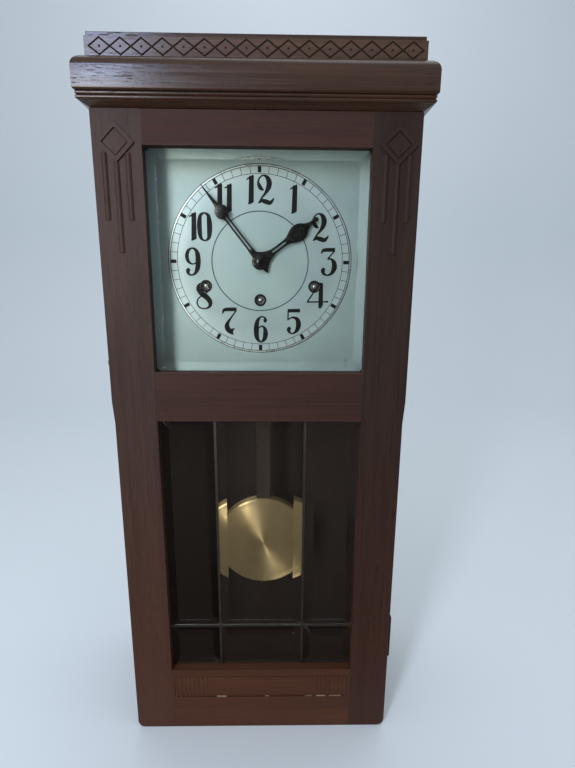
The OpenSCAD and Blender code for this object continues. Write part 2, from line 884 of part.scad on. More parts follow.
module hour_hand() color(blued)
    difference() {
        hand_sheet(hour_depth, hour_angle) {
            circle(hand_hub_r);
            hand_blade(HOUR_EDGE * hour_len, [0.018, 0.217, 0.46] * hour_len);
            translate([0, hour_len - hour_tip_r]) circle(hour_tip_r);
        }
        bar_y(0, dial_z, hour_pipe_r + hub_gap, hour_depth - 1, hour_depth + 2);
    }

module minute_hand() color(blued)
    difference() {
        hand_sheet(minute_depth, minute_angle) {
            circle(hand_hub_r);
            hand_blade(MINUTE_EDGE * minute_len, [0.0085, 0.162, 0.575] * minute_len);
        }
        bar_y(0, dial_z, cannon_pipe_r + hub_gap, minute_depth - 1, minute_depth + 2);
    }

module hand_nut() color(steel)
    translate([0, 0, dial_z])
        difference() {
            union() {
                bar_y(0, 0, 3.4, minute_depth - 0.8, minute_depth);
                bar_y(0, 0, 2.9, minute_depth - 2.2, minute_depth - 0.8);
            }
            bar_y(0, 0, cannon_pipe_r + hub_gap, minute_depth - 1.5, minute_depth + 1);
        }

// Toothed wheels. Each tooth is a tapered block; the phase is the angle of one tooth.
function gear_r(teeth, size) = teeth * size / 2;

module gear(teeth, size, phase) {
    r = gear_r(teeth, size);
    tip = r + 0.75 * size;
    root = r - 1.05 * size;
    step = 360 / teeth;
    points = [for (i = [0 : teeth - 1], corner = [[root, -0.27], [tip, -0.13], [tip, 0.13],
                                                  [root, 0.27]])
        corner[0] * [cos(phase + (i + corner[1]) * step), sin(phase + (i + corner[1]) * step)]];
    polygon(points);
}

module crossed(rim, hub)
    difference() {
        children();
        difference() {
            circle(rim);
            circle(hub);
            for (turn = [0, 90]) rotate(turn) square([2 * rim, 2.4], center = true);
        }
    }

module saw(teeth, tip, root) {
    step = 360 / teeth;
    polygon([for (i = [0 : teeth - 1], corner = [[root, 0.05], [tip, 0.9], [tip, 0.98]])
        corner[0] * [cos((i + corner[1]) * step), sin((i + corner[1]) * step)]]);
}

function polar(r, angle) = r * [cos(angle), sin(angle)];
function heading(a, b) = atan2(b.y - a.y, b.x - a.x);
// Where two circles about a and b meet, on the side that the sign picks.
function meet(a, ra, b, rb, side) =
    let (d = norm(b - a), along = (pow(ra, 2) - pow(rb, 2) + pow(d, 2)) / (2 * d))
    a + along * (b - a) / d
      + side * sqrt(pow(ra, 2) - pow(along, 2)) * [-(b - a).y, (b - a).x] / d;

back_plate_depth = plate_depth + plate_t + plate_gap;
plate_far = back_plate_depth + plate_t;
pend_depth = plate_far + pend_behind;
inner_near = plate_depth + plate_t;

GREAT = [76, 0.7];
SECOND_PINION = [10, 0.7];
SECOND = [60, 0.6];
CENTRE_PINION = [10, 0.6];
CENTRE = [72, 0.5];
THIRD_PINION = [8, 0.5];
THIRD = [70, 0.45];
ESCAPE_PINION = [8, 0.45];
CANNON = [14, 0.6];
MINUTE = [42, 0.6];
MINUTE_PINION = [12, 0.56];
HOUR = [48, 0.56];

function spacing(a, b) = gear_r(a[0], a[1]) + gear_r(b[0], b[1]);
centre_at = [0, 0];
time_at = WINDS[0];
pallet_at = [0, pivot_rise];
escape_at = [0, pivot_rise - escape_drop];
escape_r = 0.715 * escape_drop;
second_at = meet(time_at, spacing(GREAT, SECOND_PINION), centre_at,
                 spacing(SECOND, CENTRE_PINION), -1);
third_at = meet(centre_at, spacing(CENTRE, THIRD_PINION), escape_at,
                spacing(THIRD, ESCAPE_PINION), 1);
minute_at = [spacing(CANNON, MINUTE), 0];

// The driver shows a tooth on the line of centres, and the driven wheel a gap.
module driver(kind, from, to) gear(kind[0], kind[1], heading(from, to));
module driven(kind, from, to) gear(kind[0], kind[1], heading(from, to) + 180 / kind[0]);

module wheel_at(at, near, far) translate([at.x, 0, at.y + dial_z]) deep(near, far) children();

wheel_t = 1.2;
great_near = inner_near + 4.5;
great_far = great_near + 2.5;
centre_near = inner_near + 1.5;
third_near = inner_near + 9;
second_near = back_plate_depth - 6.8;
escape_near = back_plate_depth - 5;
barrel_len = 22;
barrel_hub_r = 6;

// Radii of the pivots, and of the arbors' ends that turn in the plates
centre_front_r = 1.2;
centre_back_r = 0.9;
second_pivot_r = 0.8;
third_pivot_r = 0.7;
escape_pivot_r = 0.6;
pallet_pivot_r = 0.6;
pallet_back_r = 1.2;
minute_post_r = 1.2;

module arbor(at, r, near, far, pivot_r) {
    bar_y(at.x, at.y + dial_z, r, near, far);
    bar_y(at.x, at.y + dial_z, pivot_r, plate_depth, plate_far);
}

module barrel(at, phase) color(brass)
    difference() {
        union() {
            wheel_at(at, great_near, great_far) gear(GREAT[0], GREAT[1], phase);
            bar_y(at.x, at.y + dial_z, barrel_r, great_near, great_far + barrel_len);
            bar_y(at.x, at.y + dial_z, barrel_hub_r, great_near, back_plate_depth - 3);
        }
        bar_y(at.x, at.y + dial_z, barrel_arbor_r + fit, great_near - 1, back_plate_depth);
    }

module time_barrel() barrel(time_at, heading(time_at, second_at));
module strike_barrel() barrel(WINDS[1], 0);
module chime_barrel() barrel(WINDS[2], 0);

ratchet_r = 9;
ratchet_near = plate_depth - 3;
ratchet_far = plate_depth - 1;
plate_bore_r = 3;
back_bore_r = 2.5;

module winding_arbor(at) color(steel) {
    x = at.x;
    z = at.y + dial_z;
    bar_y(x, z, barrel_arbor_r, inner_near + 0.5, back_plate_depth - 0.5);
    bar_y(x, z, plate_bore_r, ratchet_near, inner_near + 1);
    bar_y(x, z, back_bore_r, back_plate_depth - 1, plate_far);
    wheel_at(at, ratchet_near, ratchet_far) saw(16, ratchet_r, 7.4);
    box(x - square_w / 2, x + square_w / 2, dial_depth - 1, ratchet_near + 1,
        z - square_w / 2, z + square_w / 2);
}

module time_arbor() winding_arbor(WINDS[0]);
module strike_arbor() winding_arbor(WINDS[1]);
module chime_arbor() winding_arbor(WINDS[2]);

// Pawls that hold the ratchets, drawn about the ratchet's centre
click_x = ratchet_r + 6.5;

module clicks() color(steel)
    for (wind = WINDS)
        translate([wind.x, 0, wind.y + dial_z]) rotate([0, 70, 0]) {
            deep(ratchet_near + 0.2, ratchet_far - 0.2) {
                polygon([[click_x - 1, -1.8], [click_x + 0.9, 2.2], [ratchet_r + 0.2, 5.5],
                         [ratchet_r - 0.75, 4.35]]);
                translate([click_x, 0]) circle(2.6);
            }
            bar_y(click_x, 0, 2, ratchet_far - 0.3, plate_depth);
        }

module second_wheel() color(brass) {
    wheel_at(second_at, great_near - 0.3, great_far + 0.3)
        driven(SECOND_PINION, second_at, time_at);
    wheel_at(second_at, second_near, second_near + wheel_t)
        crossed(gear_r(SECOND[0], SECOND[1]) - 2.4, 4)
            driver(SECOND, second_at, centre_at);
    arbor(second_at, 1.4, inner_near + 0.3, back_plate_depth - 0.3, second_pivot_r);
}

module centre_wheel() color(brass) {
    wheel_at(centre_at, second_near - 0.3, second_near + wheel_t + 0.3)
        driven(CENTRE_PINION, centre_at, second_at);
    wheel_at(centre_at, centre_near, centre_near + wheel_t)
        crossed(gear_r(CENTRE[0], CENTRE[1]) - 2.2, 4)
            driver(CENTRE, centre_at, third_at);
    bar_y(0, dial_z, 1.6, inner_near + 0.3, back_plate_depth - 0.3);
    bar_y(0, dial_z, centre_front_r, minute_depth + hand_t, inner_near + 1);
    bar_y(0, dial_z, centre_back_r, back_plate_depth - 1, plate_far);
}

module third_wheel() color(brass) {
    wheel_at(third_at, centre_near - 0.3, centre_near + wheel_t + 0.3)
        driven(THIRD_PINION, third_at, centre_at);
    wheel_at(third_at, third_near, third_near + wheel_t)
        crossed(gear_r(THIRD[0], THIRD[1]) - 2, 3.4)
            driver(THIRD, third_at, escape_at);
    arbor(third_at, 1.1, inner_near + 0.3, back_plate_depth - 0.3, third_pivot_r);
}

module escape_wheel() color(brass) {
    wheel_at(escape_at, third_near - 0.3, third_near + wheel_t + 0.3)
        driven(ESCAPE_PINION, escape_at, third_at);
    wheel_at(escape_at, escape_near, escape_near + 1)
        crossed(escape_r - 4, 3) saw(escape_teeth, escape_r, escape_r - 2.2);
    arbor(escape_at, 1.0, inner_near + 0.3, back_plate_depth - 0.3, escape_pivot_r);
}

// Motion work between the dial and the front plate
cannon_near = plate_depth - 2.7;
cannon_far = plate_depth - 0.9;
minute_near = plate_depth - 2.4;
hour_near = plate_depth - 6;

module cannon_pinion() color(steel)
    difference() {
        union() {
            wheel_at(centre_at, cannon_near, cannon_far) driver(CANNON, centre_at, minute_at);
            bar_y(0, dial_z, cannon_pipe_r, minute_depth - 1.3, cannon_near + 1);
        }
        bar_y(0, dial_z, centre_front_r + fit, minute_depth - 2, cannon_far + 1);
    }

module minute_wheel() color(brass)
    difference() {
        union() {
            wheel_at(minute_at, minute_near, minute_near + wheel_t)
                driven(MINUTE, minute_at, centre_at);
            wheel_at(minute_at, hour_near - 0.3, minute_near + 0.2)
                driver(MINUTE_PINION, minute_at, centre_at);
        }
        bar_y(minute_at.x, minute_at.y + dial_z, minute_post_r + fit, hour_near - 1,
              plate_depth);
    }

module hour_wheel() color(brass)
    difference() {
        union() {
            wheel_at(centre_at, hour_near, hour_near + wheel_t)
                driven(HOUR, centre_at, minute_at);
            bar_y(0, dial_z, hour_pipe_r, hour_depth - 0.3, hour_near + 1);
        }
        bar_y(0, dial_z, cannon_pipe_r + fit, hour_depth - 1, hour_near + 3);
    }

// Movement plates, joined by four pillars
PILLARS = [for (side = [-1, 1], z = [-pillar_low, pillar_high]) [side * pillar_x, z]];
pillar_pin_r = 2.2;
nut_r = 4.6;
nut_t = 2.4;

module plate_outline() {
    difference() {
        translate([-plate_w / 2, -plate_drop]) square([plate_w, plate_drop + plate_rise]);
        for (at = PILLARS) translate(at) circle(pillar_pin_r + fit);
    }
}

module front_plate() color(brass)
    translate([0, 0, dial_z]) {
        deep(plate_depth, plate_depth + plate_t) difference() {
            plate_outline();
            circle(centre_front_r + fit);
            for (wind = WINDS) translate(wind) circle(plate_bore_r + fit);
            for (foot = FEET) translate(foot) circle(foot_pin_r + fit);
            translate(second_at) circle(second_pivot_r + fit);
            translate(third_at) circle(third_pivot_r + fit);
            translate(escape_at) circle(escape_pivot_r + fit);
            translate(pallet_at) circle(pallet_pivot_r + fit);
        }
        bar_y(minute_at.x, minute_at.y, minute_post_r, hour_near - 1, plate_depth + 1);
    }

lug_x = 26;
ear_w = 12;
ear_h = 22;
lug_near = plate_far - 1;
hammer_depth = plate_far + 6;
hammer_arbor_r = 1.5;
hammer_rise = plate_rise + ear_h - 8;

// The back plate also carries the pendulum's cock and two ears for the hammer arbor.
module back_plate() color(brass)
    translate([0, 0, dial_z]) difference() {
        union() {
            deep(back_plate_depth, plate_far) {
                plate_outline();
                both_ears() translate([lug_x - ear_w / 2, plate_rise - 1]) square([ear_w, ear_h + 1]);
            }
            both_sides()
                box(lug_x - 1, lug_x + 1, lug_near, hammer_depth + 4, hammer_rise - 7,
                    hammer_rise + 7);
            box(-6, 6, plate_far - 1, pend_depth + 4, pivot_rise + 4.5, plate_rise + 1);
            box(-6, 6, pend_depth - 3.5, pend_depth + 4, pivot_rise + 0.3, pivot_rise + 5);
        }
        for (bore = [[centre_at, centre_back_r], [second_at, second_pivot_r],
                     [third_at, third_pivot_r], [escape_at, escape_pivot_r],
                     [pallet_at, pallet_back_r], for (wind = WINDS) [wind, back_bore_r]])
            bar_y(bore[0].x, bore[0].y, bore[1] + fit, back_plate_depth - 1, plate_far + 1);
        bar_x(hammer_depth, hammer_rise, hammer_arbor_r + fit, -lug_x - 2, lug_x + 2);
    }

module both_ears() {
    children();
    mirror([1, 0]) children();
}

module pillars() color(steel)
    translate([0, 0, dial_z]) difference() {
        for (at = PILLARS) {
            bar_y(at.x, at.y, pillar_r, inner_near, back_plate_depth);
            bar_y(at.x, at.y, pillar_pin_r, plate_depth - nut_t, plate_far + nut_t);
        }
        translate([0, 0, -dial_z]) seat_screws(fit);
    }

module pillar_nuts() color(steel)
    translate([0, 0, dial_z])
        for (at = PILLARS, near = [plate_depth - nut_t, plate_far])
            translate([at.x, 0, at.y]) deep(near, near + nut_t) difference() {
                circle(nut_r, $fn = 6);
                circle(pillar_pin_r + fit, $fn = 64);
            }

// Anchor with its arbor, and the crutch that reaches back to the pendulum rod
// The anchor's right edge from its top, as parts of the distance between the two arbors.
ANCHOR_EDGE = [[0, 0.16], [0.62, -0.28], [0.585, -0.49], [0.5275, -0.42], [0.485, -0.27],
               [0, -0.08]];
anchor_hub_r = 3.2;
crutch_near = plate_far + 0.3;
crutch_t = 2;
crutch_drop = 43;
fork_gap = 0.3;

module pallet_anchor() color(steel) {
    wheel_at(pallet_at, escape_near - 0.5, escape_near + 1.5) {
        circle(anchor_hub_r);
        polygon(mirrored(ANCHOR_EDGE * escape_drop));
    }
    bar_y(0, pivot_rise + dial_z, 1.6, inner_near + 0.3, back_plate_depth - 0.3);
    bar_y(0, pivot_rise + dial_z, pallet_pivot_r, plate_depth, inner_near + 1);
    bar_y(0, pivot_rise + dial_z, pallet_back_r, back_plate_depth - 1, crutch_near + crutch_t);
    wheel_at(pallet_at, crutch_near, crutch_near + crutch_t) {
        circle(3);
        translate([-1.5, -crutch_drop]) square([3, crutch_drop]);
        translate([-rod_w / 2 - 2, -crutch_drop - 2]) square([rod_w + 4, 4]);
    }
    translate([0, 0, pivot_rise + dial_z]) both_sides()
        box(rod_w / 2 + fork_gap, rod_w / 2 + 2, crutch_near, pend_depth + rod_t / 2 + 1,
            -crutch_drop - 2, -crutch_drop + 2);
}

// Pendulum
pivot_z = dial_z + pivot_rise;
bob_z = pivot_z - pend_len;
spring_len = 16;
chop_h = 8;
rod_top = pivot_z - spring_len - chop_h - 11;
rod_bottom = bob_z - bob_r + 15;
rating_len = 34;
thread_pitch = 0.5;

module suspension_spring() color(steel) {
    box(-0.15, 0.15, pend_depth - 2.5, pend_depth + 2.5, pivot_z - spring_len - 2, pivot_z);
    box(-3.5, 3.5, pend_depth - 3, pend_depth + 3, pivot_z - spring_len - chop_h,
        pivot_z - spring_len);
}

module pendulum_rod() color([0.22, 0.14, 0.11])
    box(-rod_w / 2, rod_w / 2, pend_depth - rod_t / 2, pend_depth + rod_t / 2,
        rod_bottom, rod_top);

module rod_fittings() color(brass) {
    box(-5, 5, pend_depth - 3, pend_depth + 3, rod_top, rod_top + 11);
    translate([0, depth_y(pend_depth), rod_bottom - rating_len])
        cylinder(r = rating_r, h = rating_len);
}

bob_rim = 12;
bob_slack = 0.3;
bob_sag = (bob_t - bob_rim) / 2;
bob_curve = (pow(bob_r, 2) + pow(bob_sag, 2)) / (2 * bob_sag);
bob_steps = 12;
function bob_face(r) = sqrt(pow(bob_curve, 2) - pow(r, 2)) - bob_curve + bob_t / 2;

module bob_half()
    polygon([[0, 0], [bob_r, 0],
             for (i = [0 : bob_steps]) let (r = bob_r * (1 - i / bob_steps)) [r, bob_face(r)]]);

module pendulum_bob() color(brass)
    difference() {
        translate([0, depth_y(pend_depth), bob_z]) rotate([90, 0, 0]) {
            rotate_extrude($fn = 96) bob_half();
            mirror([0, 0, 1]) rotate_extrude($fn = 96) bob_half();
        }
        box(-rod_w / 2 - bob_slack, rod_w / 2 + bob_slack, pend_depth - rod_t / 2 - bob_slack,
            pend_depth + rod_t / 2 + bob_slack, rod_bottom - 6, bob_z + bob_r + 1);
        translate([0, depth_y(pend_depth), bob_z - bob_r - 1])
            cylinder(r = rating_r + bob_slack, h = 20);
    }

module rating_nut() color(brass)
    translate([0, depth_y(pend_depth), bob_z - bob_r - 7.3])
        difference() {
            union() {
                cylinder(r = 6, h = 5);
                translate([0, 0, 5]) cylinder(r = 4, h = 2);
            }
            translate([0, 0, -1]) cylinder(r = rating_r + fit, h = 10);
        }

// Gong block on the back board, with its rods, and the gang of hammers in front of them
gong_count = 4;
gong_block_w = 52;
gong_block_h = 16;
gong_block_d = 22;
gong_screw_x = gong_block_w / 2 - 5;
gong_drop = 21;
gong_inset = 14;
gong_z = case_h - gong_drop;
gong_depth = back_face - gong_inset;
gong_step = 15;
function gong_x(i) = (i - (gong_count - 1) / 2) * gong_pitch;

module gong_block() color([0.25, 0.25, 0.26])
    difference() {
        union() {
            box(-gong_block_w / 2, gong_block_w / 2, back_face - gong_block_d, back_face,
                gong_z, gong_z + gong_block_h);
            for (i = [0 : gong_count - 1])
                translate([gong_x(i), depth_y(gong_depth), gong_z - gong_len - i * gong_step])
                    cylinder(r = gong_r, h = gong_len + i * gong_step + 2);
        }
        gong_screws(fit);
    }

hammer_r = 4;
hammer_wire_r = 1;
hammer_lift = 22;
hammer_far = gong_depth - gong_r - 3.2;

module hammers() color(steel)
    translate([0, 0, dial_z + hammer_rise]) {
        bar_x(hammer_depth, 0, hammer_arbor_r, -lug_x - 4, lug_x + 4);
        for (i = [0 : gong_count - 1]) {
            translate([gong_x(i), depth_y(hammer_depth), 0])
                cylinder(r = hammer_wire_r, h = hammer_lift);
            translate([gong_x(i), depth_y(hammer_depth), hammer_lift]) sphere(hammer_wire_r);
            bar_y(gong_x(i), hammer_lift, hammer_wire_r, hammer_depth, hammer_far - 6);
            bar_y(gong_x(i), hammer_lift, hammer_r, hammer_far - 8, hammer_far);
        }
    }

left_side();
right_side();
base_board();
top_board();
back_board();
cornice_front();
cornice_left();
cornice_right();
cap_board();
hanger_plate();
case_screws();
seat_board();
door_left_stile();
door_right_stile();
door_top_rail();
door_mid_rail();
door_bottom_rail();
upper_glass();
lower_panes();
cames();
glazing_beads();
hinge_door_leaves();
hinge_case_leaves();
hinge_pins();
hinge_door_screws();
hinge_case_screws();
latch_stud();
latch_hook();
latch_screw();
dial_plate();
winding_collets();
hour_hand();
minute_hand();
hand_nut();
cannon_pinion();
minute_wheel();
hour_wheel();
front_plate();
back_plate();
pillars();
pillar_nuts();
time_barrel();
strike_barrel();
chime_barrel();
time_arbor();
strike_arbor();
chime_arbor();
clicks();
second_wheel();
centre_wheel();
third_wheel();
escape_wheel();
pallet_anchor();
suspension_spring();
pendulum_rod();
rod_fittings();
pendulum_bob();
rating_nut();
gong_block();
hammers();
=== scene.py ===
import json
import math

import bmesh
import bpy
from mathutils import Matrix, Vector

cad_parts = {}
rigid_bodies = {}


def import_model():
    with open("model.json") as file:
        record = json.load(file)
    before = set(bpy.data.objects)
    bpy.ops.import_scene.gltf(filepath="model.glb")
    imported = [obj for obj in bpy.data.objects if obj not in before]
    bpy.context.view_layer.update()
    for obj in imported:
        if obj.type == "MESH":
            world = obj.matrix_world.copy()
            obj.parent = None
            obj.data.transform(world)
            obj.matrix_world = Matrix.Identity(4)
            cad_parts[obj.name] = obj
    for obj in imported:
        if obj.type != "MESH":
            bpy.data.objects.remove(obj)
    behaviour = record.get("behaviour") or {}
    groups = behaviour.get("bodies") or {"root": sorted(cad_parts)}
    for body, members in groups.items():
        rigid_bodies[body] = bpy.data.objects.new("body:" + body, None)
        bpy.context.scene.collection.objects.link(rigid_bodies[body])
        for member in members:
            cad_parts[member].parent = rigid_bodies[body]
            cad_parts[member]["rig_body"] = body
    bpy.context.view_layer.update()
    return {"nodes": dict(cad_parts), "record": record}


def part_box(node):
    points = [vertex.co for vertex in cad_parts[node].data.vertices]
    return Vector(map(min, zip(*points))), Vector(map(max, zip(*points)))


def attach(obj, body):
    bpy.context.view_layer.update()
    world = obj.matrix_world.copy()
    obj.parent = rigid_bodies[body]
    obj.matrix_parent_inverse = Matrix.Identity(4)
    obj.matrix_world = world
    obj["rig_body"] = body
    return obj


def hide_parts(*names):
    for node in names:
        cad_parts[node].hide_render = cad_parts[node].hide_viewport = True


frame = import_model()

# Case boards. The sides, base, back and top are solid oak, fumed dark and waxed. Their
# edges are eased with a plane, and the grain runs up the sides and across the others.
nodes = frame["nodes"]
slots = {part["node"]: part["material_slot"] for part in frame["record"]["subparts"]}
mm = 0.001  # the frame is in metres


def tint(red, green, blue):
    """A colour as it looks on a screen, 0 to 255, turned into the one that shaders take."""
    levels = [c / 255 for c in (red, green, blue)]
    return tuple(c / 12.92 if c <= 0.04045 else ((c + 0.055) / 1.055) ** 2.4 for c in levels) + (1,)


def new_material(name):
    """A material with only its output, and a function that adds nodes to it."""
    material = bpy.data.materials.new(name)
    material.use_nodes = True
    tree = material.node_tree
    tree.nodes.clear()

    def put(kind, values=(), **settings):
        made = tree.nodes.new("ShaderNode" + kind)
        for setting, value in settings.items():
            setattr(made, setting, value)
        for socket, value in dict(values).items():
            if isinstance(value, bpy.types.NodeSocket):
                tree.links.new(value, made.inputs[socket])
            else:
                made.inputs[socket].default_value = value
        return made

    return material, put


def noise(put, place, scale, detail=4.0, roughness=0.55, distortion=0.0):
    made = put("TexNoise", {"Vector": place, "Scale": scale, "Detail": detail,
                            "Roughness": roughness, "Distortion": distortion})
    return made.outputs["Fac"]


def spread(put, value, low, high, to_low=0.0, to_high=1.0):
    """Stretches the part of a value between low and high, and clips the rest."""
    return put("MapRange", {"Value": value, "From Min": low, "From Max": high,
                            "To Min": to_low, "To Max": to_high}).outputs["Result"]


def blend(put, share, first, second):
    made = put("Mix", {0: share, 6: first, 7: second}, data_type="RGBA")
    return made.outputs[2]


def times(put, first, second):
    return put("Math", {0: first, 1: second}, operation="MULTIPLY").outputs[0]


def plus(put, first, second):
    return put("Math", {0: first, 1: second}, operation="ADD").outputs[0]


def stretched(put, along, amount, shift):
    """Object coordinates squeezed along one axis, so that a pattern runs with the grain."""
    place = put("TexCoord").outputs["Object"]
    scale = [amount if axis == along else 1.0 for axis in "XYZ"]
    made = put("Mapping", {"Vector": place, "Scale": scale, "Location": (shift, shift, shift)})
    return made.outputs["Vector"]


BARE_OAK_GLINT = (206, 178, 156)
# Between these heights, in millimetres, a warmer colour comes in: painted warm light from below.
BOUNCE_TOP, BOUNCE_BOTTOM = 420.0, 60.0  # heights between which a foot colour comes in


def oak(name, along, dark, light, shift, gloss=0.5, pore_share=0.5, shine=0.26, warm_bounce=None,
        bare_glints=()):
    """Waxed oak: slow bands, streaks, fine fibres, open pores in rows, and a little wear. The
    foot colour is painted in lower down: warm light thrown up from below. Bare spots are pale
    marks along a ledge, partly wax rubbed off and partly a painted glint of light on the ledge;
    they are x from, x to, z (in millimetres) and strength."""
    material, put = new_material(name)
    bands = noise(put, stretched(put, along, 0.06, shift), 55, 3, 0.6, 0.5)
    streaks = noise(put, stretched(put, along, 0.016, shift + 1), 420, 3, 0.65)
    fibres = noise(put, stretched(put, along, 0.02, shift + 2), 1900, 4, 0.7)
    rows = spread(put, noise(put, stretched(put, along, 0.02, shift + 3), 260, 2), 0.44, 0.6)
    dashes = spread(put, noise(put, stretched(put, along, 0.08, shift + 4), 1150, 2), 0.57, 0.66)
    pores = times(put, rows, dashes)
    patches = spread(put, noise(put, stretched(put, along, 0.4, shift + 5), 9, 3), 0.35, 0.7)
    mixed = plus(put, times(put, bands, 0.3), plus(put, times(put, streaks, 0.45),
                                                   times(put, fibres, 0.35)))
    wood = blend(put, spread(put, mixed, 0.4, 0.7), tint(*dark), tint(*light))
    wood = blend(put, times(put, patches, 0.3), wood, tint(*(c * 0.75 for c in dark)))
    axes = put("SeparateXYZ", {0: put("TexCoord").outputs["Object"]}).outputs
    # Painted warm light from below: the wood turns warmer towards the bottom.
    if warm_bounce:
        lower = spread(put, axes["Z"], BOUNCE_TOP * mm, BOUNCE_BOTTOM * mm, 0.0, 0.6)
        wood = blend(put, lower, wood, blend(put, mixed, tint(*(c * 0.7 for c in warm_bounce)),
                                             tint(*warm_bounce)))
    wood = blend(put, times(put, pores, pore_share), wood, tint(*(c * 0.3 for c in dark)))
    ragged = spread(put, fibres, 0.3, 0.7, -0.3 * mm, 0.3 * mm)
    # Pale spots along a ledge: wax rubbed off, and a painted glint of light along the ledge.
    for start, end, ledge, share in bare_glints:
        inside = times(put, spread(put, axes["X"], start * mm, (start + 2) * mm),
                       spread(put, axes["X"], end * mm, (end - 2) * mm))
        off = put("Math", {0: plus(put, axes["Z"], ragged), 1: ledge * mm}, operation="SUBTRACT")
        off = put("Math", {0: off.outputs[0]}, operation="ABSOLUTE").outputs[0]
        spot = times(put, inside, spread(put, off, 0.55 * mm, 0.25 * mm, 0.0, share))
        wood = blend(put, spot, wood, tint(*BARE_OAK_GLINT))
    height = plus(put, times(put, fibres, 0.4), times(put, pores, -1.0))
    bump = put("Bump", {"Height": height, "Strength": 0.3, "Distance": 0.2 * mm})
    rough = spread(put, plus(put, streaks, times(put, patches, 0.5)), 0.3, 1.1,
                   gloss - 0.06, gloss + 0.16)
    rough = plus(put, rough, times(put, pores, max(pore_share - 0.5, 0.0)))
    shader = put("BsdfPrincipled", {"Base Color": wood, "Roughness": rough,
                                    "Normal": bump.outputs[0], "Specular IOR Level": shine})
    put("OutputMaterial", {"Surface": shader.outputs[0]})
    return material


def mesh_of(name, shape):
    """Turns a shape that was built up here into a mesh."""
    mesh = bpy.data.meshes.new(name)
    shape.to_mesh(mesh)
    shape.free()
    return mesh


def own_piece(name, mesh, body, slot, *materials):
    """Links a mesh as a piece that rides on a body, with the given materials. The slot is not used.
    """
    for material in materials:
        mesh.materials.append(material)
    piece = bpy.data.objects.new(name, mesh)
    bpy.context.scene.collection.objects.link(piece)
    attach(piece, body)
    return piece


WELD = 0.004 * mm
FLAT, ROUND = math.radians(0.4), math.radians(9)


def eased(node, radius, surface, edge=None, least=32):
    """A copy of a part with clean faces and rounded edges, which stands for that part. Edges
    that turn by more than the least angle are rounded. Bends below that stay crisp, down to
    the small steps of a round face, which are shaded smooth."""
    shape = bmesh.new()
    shape.from_mesh(nodes[node].data)
    bmesh.ops.remove_doubles(shape, verts=shape.verts, dist=WELD)
    bmesh.ops.dissolve_limit(shape, angle_limit=FLAT, verts=shape.verts, edges=shape.edges)
    for bend in shape.edges:
        bend.smooth = not ROUND < bend.calc_face_angle(0) <= math.radians(least)
    mesh = mesh_of(node + "_finished", shape)
    if "custom_normal" in mesh.attributes:
        mesh.attributes.remove(mesh.attributes["custom_normal"])
    mesh.materials.clear()
    mesh.shade_smooth()
    piece = own_piece(node + "_finished", mesh, nodes[node]["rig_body"], slots[node],
                      surface, edge or surface)
    for face in mesh.polygons:
        face.material_index = 0
    rounding = piece.modifiers.new("rounded edges", "BEVEL")
    rounding.width = radius * mm
    rounding.segments = 2
    rounding.limit_method = "ANGLE"
    rounding.angle_limit = math.radians(least)
    rounding.harden_normals = True
    rounding.material = 1 if edge else 0
    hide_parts(node)
    return piece


OAK_DARK = (54, 34, 27)
OAK_LIGHT = (78, 51, 40)
# The rounded edges take a lighter copy of the oak: wear on the arrises, and painted highlight along
# them.
EDGE_DARK = (58, 39, 32)
EDGE_LIGHT = (82, 59, 49)
side_oak = oak("oak_sides", "Z", OAK_DARK, OAK_LIGHT, 3.0)
level_oak = oak("oak_level", "X", OAK_DARK, OAK_LIGHT, 7.0)
worn_highlit_upright = oak("oak_worn_highlit_upright", "Z", EDGE_DARK, EDGE_LIGHT, 11.0, 0.36)
worn_highlit_level = oak("oak_worn_highlit_level", "X", EDGE_DARK, EDGE_LIGHT, 13.0, 0.36)
# The inside boards and the beads take a darker copy of the oak: painted shade for the dim inside of
# the case.
shaded_inner_oak = oak("oak_inside_painted_shade", "Z", (28, 18, 14), (43, 29, 23), 17.0, 0.6)
eased("left_side", 1.2, side_oak, worn_highlit_upright)
eased("right_side", 1.2, side_oak, worn_highlit_upright)
eased("base_board", 0.8, level_oak)
eased("back_board", 0.6, shaded_inner_oak)
eased("seat_board", 0.8, shaded_inner_oak)

# Cornice. A beaded top board, a large rounded moulding mitred at the corners with a frieze
# of cut diamonds, and a thin cap board. The grain follows each strip.
CORNICE_DARK = (44, 27, 18)
CORNICE_LIGHT = (70, 46, 32)
cornice_oak = oak("oak_cornice", "X", CORNICE_DARK, CORNICE_LIGHT, 19.0, 0.2, 0.95, 0.44)
return_oak = oak("oak_cornice_returns", "Y", CORNICE_DARK, CORNICE_LIGHT, 23.0, 0.2, 0.95, 0.44)
# The frieze's grooves take a darker copy of the oak, painted shade, and its face a lighter copy,
# painted light.
painted_shade_groove_oak = oak("oak_grooves_painted_shade", "X", (31, 21, 16), (47, 32, 25), 27.0, 0.6)
painted_light_frieze_oak = oak("oak_frieze_painted_light", "X", (62, 41, 29), (92, 65, 49), 19.0, 0.24, 0.7, 0.44)
eased("top_board", 0.5, cornice_oak, worn_highlit_level)
SHALLOW = 0.12 * mm


def shade_painted_carving(piece, low, high, shaded_finish, lit_finish):
    """Painted shade in carving: what slopes or lies deep takes a darker finish, painted shade,
    and the face around it a finish of its own, which on the frieze is lighter, painted light."""
    piece.data.materials.append(shaded_finish)
    piece.data.materials.append(lit_finish)
    deep_index, raised_index = range(len(piece.data.materials))[-2:]
    carved = [face for face in piece.data.polygons
              if all(a < b < c for a, b, c in zip(low, face.center, high))]
    surface = min(face.center.y for face in carved)
    for face in carved:
        cut = face.center.y > surface + SHALLOW
        face.material_index = deep_index if cut else raised_index


